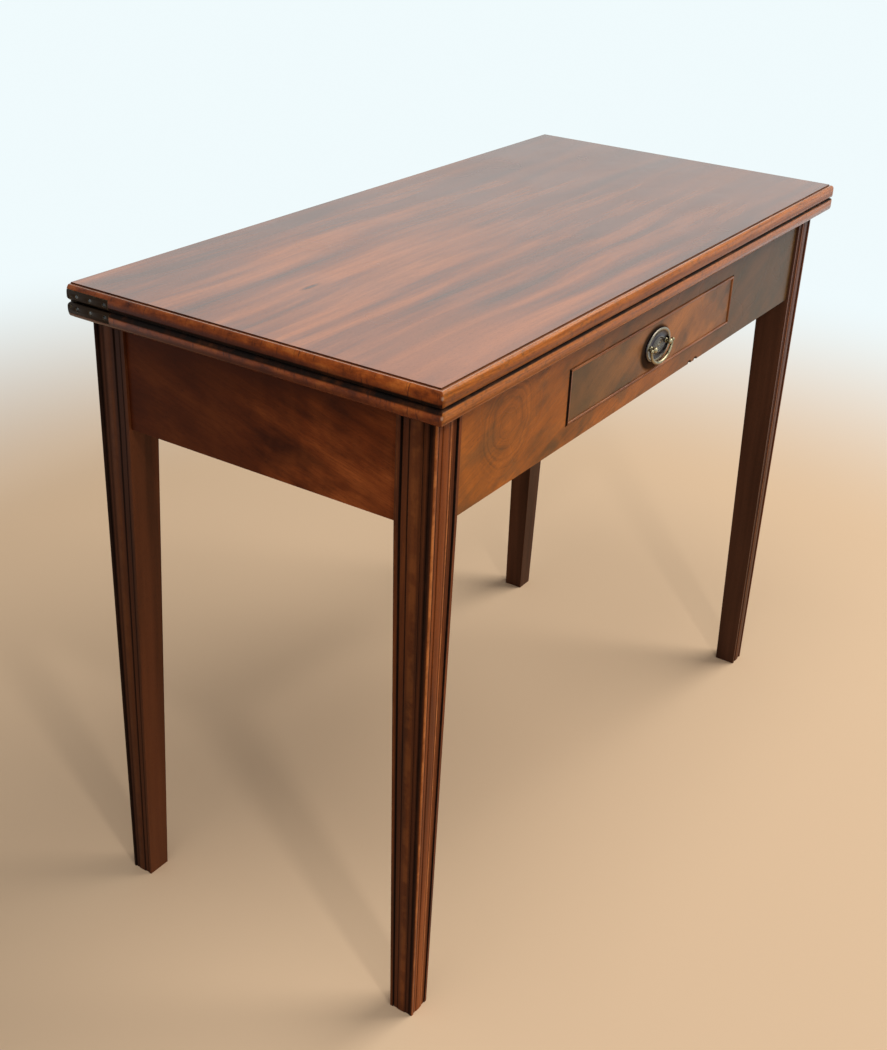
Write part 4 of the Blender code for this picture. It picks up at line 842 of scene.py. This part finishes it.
hinge_dark, hinge_bright = (0.022, 0.012, 0.007), (0.30, 0.22, 0.12)
hinge_screw_dark, hinge_screw_bright = (0.022, 0.020, 0.018), (0.26, 0.25, 0.24)
hinge_screw_places = (0.2020, 0.1845, 0.1660)
hinge_screw_rise, hinge_slot_step = 0.0061, 1.3
hinge_ease, hinge_pin_ease = 0.0002, 0.0001
hinge_brass = old_metal("hinge_brass", hinge_dark, hinge_bright, tarnish=0.74, gloss=0.42)
hinge_steel = old_metal("hinge_screw_steel", hinge_screw_dark, hinge_screw_bright, tarnish=0.50, gloss=0.30)
for leaf, way in (("lower_leaf", -1), ("upper_leaf", 1)):
    for end, side in (("left", -1), ("right", 1)):
        node, outward = f"{leaf}_hinge_plate_{end}", (side, 0, 0)
        level = meeting_height + way * hinge_screw_rise
        spots = [(side * cad_high.x, along, level) for along in hinge_screw_places]
        aged_copy(node, [hinge_brass], hinge_ease, screw_sinks(spots, outward))
        heads = screw_heads(spots, outward, way, hinge_slot_step)
        show(f"{leaf}_hinge_screws_{end}", heads, [hinge_steel], body_of[node], slot_of[node])
        aged_copy(f"{leaf}_hinge_pin_{end}", [hinge_brass], hinge_pin_ease)
for end in ("left", "right"):
    aged_copy(f"hinge_link_{end}", [hinge_brass], hinge_ease)


# The drawer
# A mahogany front with oak sides and back, dovetailed at every corner. A thin cockbead is let in round the
# front, chipped at its lower left. The bottom slides in grooves and is nailed up into the back.

bead_tones = ((0.15, 0.045, 0.015), (0.29, 0.095, 0.030), (0.44, 0.165, 0.055))
drawer_tones = ((0.100, 0.042, 0.0130), (0.305, 0.105, 0.0190), (0.56, 0.195, 0.034))
# Painted shade: the drawer is painted darker towards its right. It is also darker towards its left.
right_painted_shade = ((-0.02, 0.0, 0.0), (0.42, 0.0, 0.0), 0.18)
left_shade = ((0.06, 0.0, 0.0), (-0.15, 0.0, 0.0), 0.58)
# The painted shadow of the handle, a dark spot round the plate set off to its left.
handle_painted_shadow = ((-0.0045, front_low.y, 0.6212), (0.0380, 0.02, 0.0265))
# Dirt and the painted shadow of the gap darken the bead's outer edge.
bead_dirt = {"clean": -0.0017, "dirty": -0.0011, "rise": -0.0009}
bead_ease, drawer_ease = 0.0002, 0.0004
bead_chip_across, bead_chip_reach = -0.1830, (0.0036, 0.0011, 0.0009)
nail_places = (-0.15, -0.05, 0.05, 0.15)
nail_profile = ((0.0, 0.0005), (0.0016, 0.0004), (0.0019, 0.0), (0.0008, -0.0004), (0.0008, -0.0030),
                (0.0, -0.0030))
drawer_wood = figured_board(
    "drawer_mahogany", "X", drawer_tones, cloud_and_sheen_colour, stretch=(8.0, 30.0, 30.0), wander=0.045,
    shift=(2.1, 0.3, 0.9), slant=0.52, fine=0.20, gloss=0.28, shine=0.11, shades=(right_painted_shade, left_shade),
    stains_and_shadows=[handle_painted_shadow])
bead_wood = figured_board(
    "cockbead_mahogany", "X", bead_tones, bead_tones[0], stretch=(12.0, 60.0, 60.0), wander=0.02,
    shift=(0.9, 0.2, 0.4), slant=0.0, fine=0.30, gloss=0.30, shine=0.16, edge=bead_dirt)
aged_copy("drawer_front", [drawer_wood], drawer_ease)
bead_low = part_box("drawer_bead_bottom")[0]
aged_copy("drawer_bead_bottom", [bead_wood], bead_ease,
          [chip((bead_chip_across, bead_low.y, bead_low.z), bead_chip_reach)])
for side in ("top", "left", "right"):
    aged_copy(f"drawer_bead_{side}", [bead_wood], bead_ease)
for part in ("side_left", "side_right"):
    aged_copy(f"drawer_{part}", [oak_back], drawer_ease)
for part in ("back", "bottom"):
    aged_copy(f"drawer_{part}", [oak_across], drawer_ease)
back_low, back_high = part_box("drawer_back")
nail_line = (back_low.y + back_high.y) / 2
bottom_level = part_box("drawer_bottom")[0].z
nails = [finished(turned(nail_profile, steps=16), facing((across, nail_line, bottom_level), (0, 0, -1)))
         for across in nail_places]
show("drawer_bottom_nails", joined(nails), [iron], "drawer", slot_of["knuckle_pin"])


# The handle
# A stamped oval plate, two turned posts through the drawer front to iron nuts, and a bail hung from them by
# pins, all of brass. The plate's hollows are nearly black, and polishing has kept its crests bright.

plate_dark, plate_bright = (0.048, 0.038, 0.044), (0.35, 0.30, 0.215)
handle_dark, handle_bright = (0.235, 0.195, 0.115), (0.52, 0.45, 0.29)
plate_low, plate_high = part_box("handle_backplate")
bail_low, bail_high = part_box("bail")
seat = plate_high.y
handle_middle = (plate_low.z + plate_high.z) / 2
pivot_y = (bail_low.y + bail_high.y) / 2
pivot_out = seat - pivot_y
post_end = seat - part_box("handle_post_right")[1].y
post_spread, post_hole, post_hole_depth, nut_ease = 0.0185, 0.0020, 0.02, 0.0003
ball_radius, ball_steps = 0.0033, 16
bail_wire, bail_ball, bail_pin = 0.0019, 0.0024, 0.0009
bail_half, bail_drop, bail_points = bail_high.x - bail_ball, handle_middle - bail_low.z - bail_wire, 48
bail_thin, bail_swell = 0.72, 0.28
crests = (seat - 0.0022, seat - 0.0013)
# The plate's profile runs out from its middle, in shares of its half width and in metres from its seat.
plate_profile = ((0.0, 0.0025), (0.05, 0.0024), (0.09, 0.0018), (0.12, 0.0014), (0.15, 0.0017),
                 (0.18, 0.0021), (0.21, 0.0018), (0.25, 0.0013), (0.28, 0.0016), (0.31, 0.0020),
                 (0.34, 0.0017), (0.38, 0.0012), (0.41, 0.0015), (0.44, 0.0019), (0.47, 0.0016),
                 (0.51, 0.0011), (0.57, 0.0008), (0.64, 0.0007), (0.72, 0.0009), (0.80, 0.0013),
                 (0.85, 0.0020), (0.89, 0.0023), (0.93, 0.0023), (0.965, 0.0020), (0.99, 0.0014),
                 (1.0, 0.0006), (0.995, 0.0), (0.90, 0.0), (0.0, 0.0))
post_profile = [(ball_radius * math.sin(turn), pivot_out + ball_radius * math.cos(turn))
                for turn in [math.pi * step / ball_steps for step in range(13)]]
post_profile += [(0.0019, 0.0034), (0.0018, 0.0028), (0.0022, 0.0024), (0.0029, 0.0022), (0.0031, 0.0018),
                 (0.0029, 0.0012), (0.0017, 0.0011), (0.0017, post_end), (0.0, post_end)]

plate_brass = old_metal("handle_plate_brass", plate_dark, plate_bright, tarnish=0.70, gloss=0.24,
                        crests=crests)
handle_brass = old_metal("handle_brass", handle_dark, handle_bright, tarnish=0.50, gloss=0.30)
forward = (0, -1, 0)
oval = Matrix.Diagonal(((plate_high.x - plate_low.x) / 2, (plate_high.z - plate_low.z) / 2, 1.0, 1.0))
plate_turn = facing((0.0, seat, handle_middle), forward) @ oval
plate = finished(turned(plate_profile, steps=96), plate_turn, crease=60.0)
holes = []
for side in (-1, 1):
    hole = bmesh.new()
    bmesh.ops.create_cone(hole, cap_ends=True, segments=20, radius1=post_hole, radius2=post_hole,
                          depth=post_hole_depth)
    holes.append(finished(hole, facing((side * post_spread, seat, handle_middle), forward)))
show("handle_plate_stamped", carved(plate, holes), [plate_brass], "drawer", slot_of["handle_backplate"],
     "handle_backplate")
for end, side in (("left", -1), ("right", 1)):
    upright = facing((side * post_spread, seat, handle_middle), forward)
    post = finished(turned(post_profile, steps=32), upright, crease=50.0)
    node = f"handle_post_{end}"
    show(f"{node}_turned", post, [handle_brass], "drawer", slot_of[node], node)
    aged_copy(f"handle_nut_{end}", [iron], nut_ease)

curve = bpy.data.curves.new("bail_line", "CURVE")
curve.dimensions = "3D"
curve.bevel_depth = bail_wire
curve.bevel_resolution = 5
curve.use_fill_caps = True
spline = curve.splines.new("POLY")
spline.points.add(bail_points)
for index, point in enumerate(spline.points):
    turn = math.pi * index / bail_points
    point.co = (-bail_half * math.cos(turn), pivot_y, handle_middle - bail_drop * math.sin(turn), 1.0)
    point.radius = bail_thin + bail_swell * math.sin(turn)
line = bpy.data.objects.new("bail_line", curve)
bail_parts = [bpy.data.meshes.new_from_object(line)]
bpy.data.objects.remove(line)
for side in (-1, 1):
    ball = bmesh.new()
    bmesh.ops.create_uvsphere(ball, u_segments=24, v_segments=16, radius=bail_ball)
    ball_place = Matrix.Translation((side * bail_half, pivot_y, handle_middle))
    bail_parts.append(finished(ball, ball_place, crease=180.0))
    pin = bmesh.new()
    reach = bail_half - post_spread + ball_radius
    bmesh.ops.create_cone(pin, cap_ends=True, segments=16, radius1=bail_pin, radius2=bail_pin, depth=reach)
    middle = side * (bail_half - reach / 2)
    bail_parts.append(finished(pin, facing((middle, pivot_y, handle_middle), (1, 0, 0))))
show("bail_forged", joined(bail_parts), [handle_brass], body_of["bail"], slot_of["bail"], "bail")


# The room
# A wide warm floor that turns pale far off and a pale surrounding, with a large soft lamp at the front right,
# a smaller one overhead and a very small one at the front left.

floor_colour = (0.76, 0.55, 0.36)
backdrop_colour = (0.87, 0.96, 0.98)
ambient_colour, ambient_strength = (0.95, 0.97, 1.0), 0.22
window_colour, lamp_colour = (1.0, 0.97, 0.92), (1.0, 0.98, 0.95)
floor_half = 40.0
fade_start, fade_end = 0.95, 2.3
bm = bmesh.new()
bmesh.ops.create_grid(bm, x_segments=1, y_segments=1, size=floor_half)
floor = add_object("floor", as_mesh("floor", bm))


def seen_share(tree):
    """One for rays that show the background: from the camera, in a gloss or through glass."""
    path = add_node(tree, "ShaderNodeLightPath").outputs
    direct = maths(tree, "MAXIMUM", path["Is Camera Ray"], path["Is Glossy Ray"])
    return maths(tree, "MAXIMUM", direct, path["Is Transmission Ray"])


material, tree, shader, place = start_material("floor_paint")
shader.inputs["Base Color"].default_value = (*floor_colour, 1.0)
shader.inputs["Roughness"].default_value = 0.9
shader.inputs["Specular IOR Level"].default_value = 0.1
far = spread(tree, vector_maths(tree, "LENGTH", place), fade_start, fade_end)
pale = add_node(tree, "ShaderNodeEmission", {"Color": backdrop_colour, "Strength": 1.0})
mixed = add_node(tree, "ShaderNodeMixShader", {0: maths(tree, "MULTIPLY", far, seen_share(tree)),
                                               1: shader.outputs[0], 2: pale.outputs[0]})
tree.links.new(mixed.outputs[0], tree.nodes["Material Output"].inputs["Surface"])
floor.data.materials.append(material)

world = bpy.data.worlds.new("room")
bpy.context.scene.world = world
world.use_nodes = True
tree = world.node_tree
seen = seen_share(tree)
background = tree.nodes["Background"]
tree.links.new(blend(tree, seen, ambient_colour, backdrop_colour), background.inputs["Color"])
tree.links.new(maths(tree, "ADD", ambient_strength, maths(tree, "MULTIPLY", seen, 1.0 - ambient_strength)),
               background.inputs["Strength"])


def area_lamp(name, place, target, size, power, colour):
    """A rectangular soft lamp that faces a target."""
    lamp = bpy.data.lights.new(name, "AREA")
    lamp.shape = "RECTANGLE"
    lamp.size, lamp.size_y = size
    lamp.energy = power
    lamp.color = colour
    stand = add_object(name, lamp)
    stand.location = place
    stand.rotation_euler = (Vector(target) - Vector(place)).to_track_quat("-Z", "Y").to_euler()


area_lamp("window_lamp", place=(2.7, -1.9, 3.5), target=(0.0, 0.0, 0.5), size=(3.2, 2.6), power=165.0,
          colour=window_colour)
area_lamp("ceiling_lamp", place=(-0.9, -0.3, 3.6), target=(-0.2, 0.0, 0.6), size=(1.4, 1.4), power=28.0,
          colour=lamp_colour)
area_lamp("small_lamp", place=(-1.2, -1.6, 2.2), target=(-0.4, -0.2, 0.65), size=(0.15, 0.15), power=9.0,
          colour=lamp_colour)

# The camera stands at the photograph's own angle, to the left of the near corner and above the top.
camera_place = Vector((-1.3435, -0.7817, 1.1420))
camera_azimuth, camera_tilt, camera_roll = math.radians(-57.66), math.radians(27.39), math.radians(2.64)
camera_focal_pixels, image_height_pixels, sensor_size = 1407.85, 1050, 36.0
camera_data = bpy.data.cameras.new("camera")
camera_data.sensor_width = sensor_size
camera_data.lens = sensor_size * camera_focal_pixels / image_height_pixels
camera_data.clip_start = 0.01
camera = add_object("camera", camera_data)
camera_turn = (Matrix.Rotation(camera_azimuth, 4, "Z") @ Matrix.Rotation(math.pi / 2 - camera_tilt, 4, "X")
               @ Matrix.Rotation(camera_roll, 4, "Z"))
camera.matrix_world = Matrix.Translation(camera_place) @ camera_turn
bpy.context.scene.camera = camera
bpy.context.scene.view_settings.view_transform = "Standard"

bpy.context.view_layer.update()
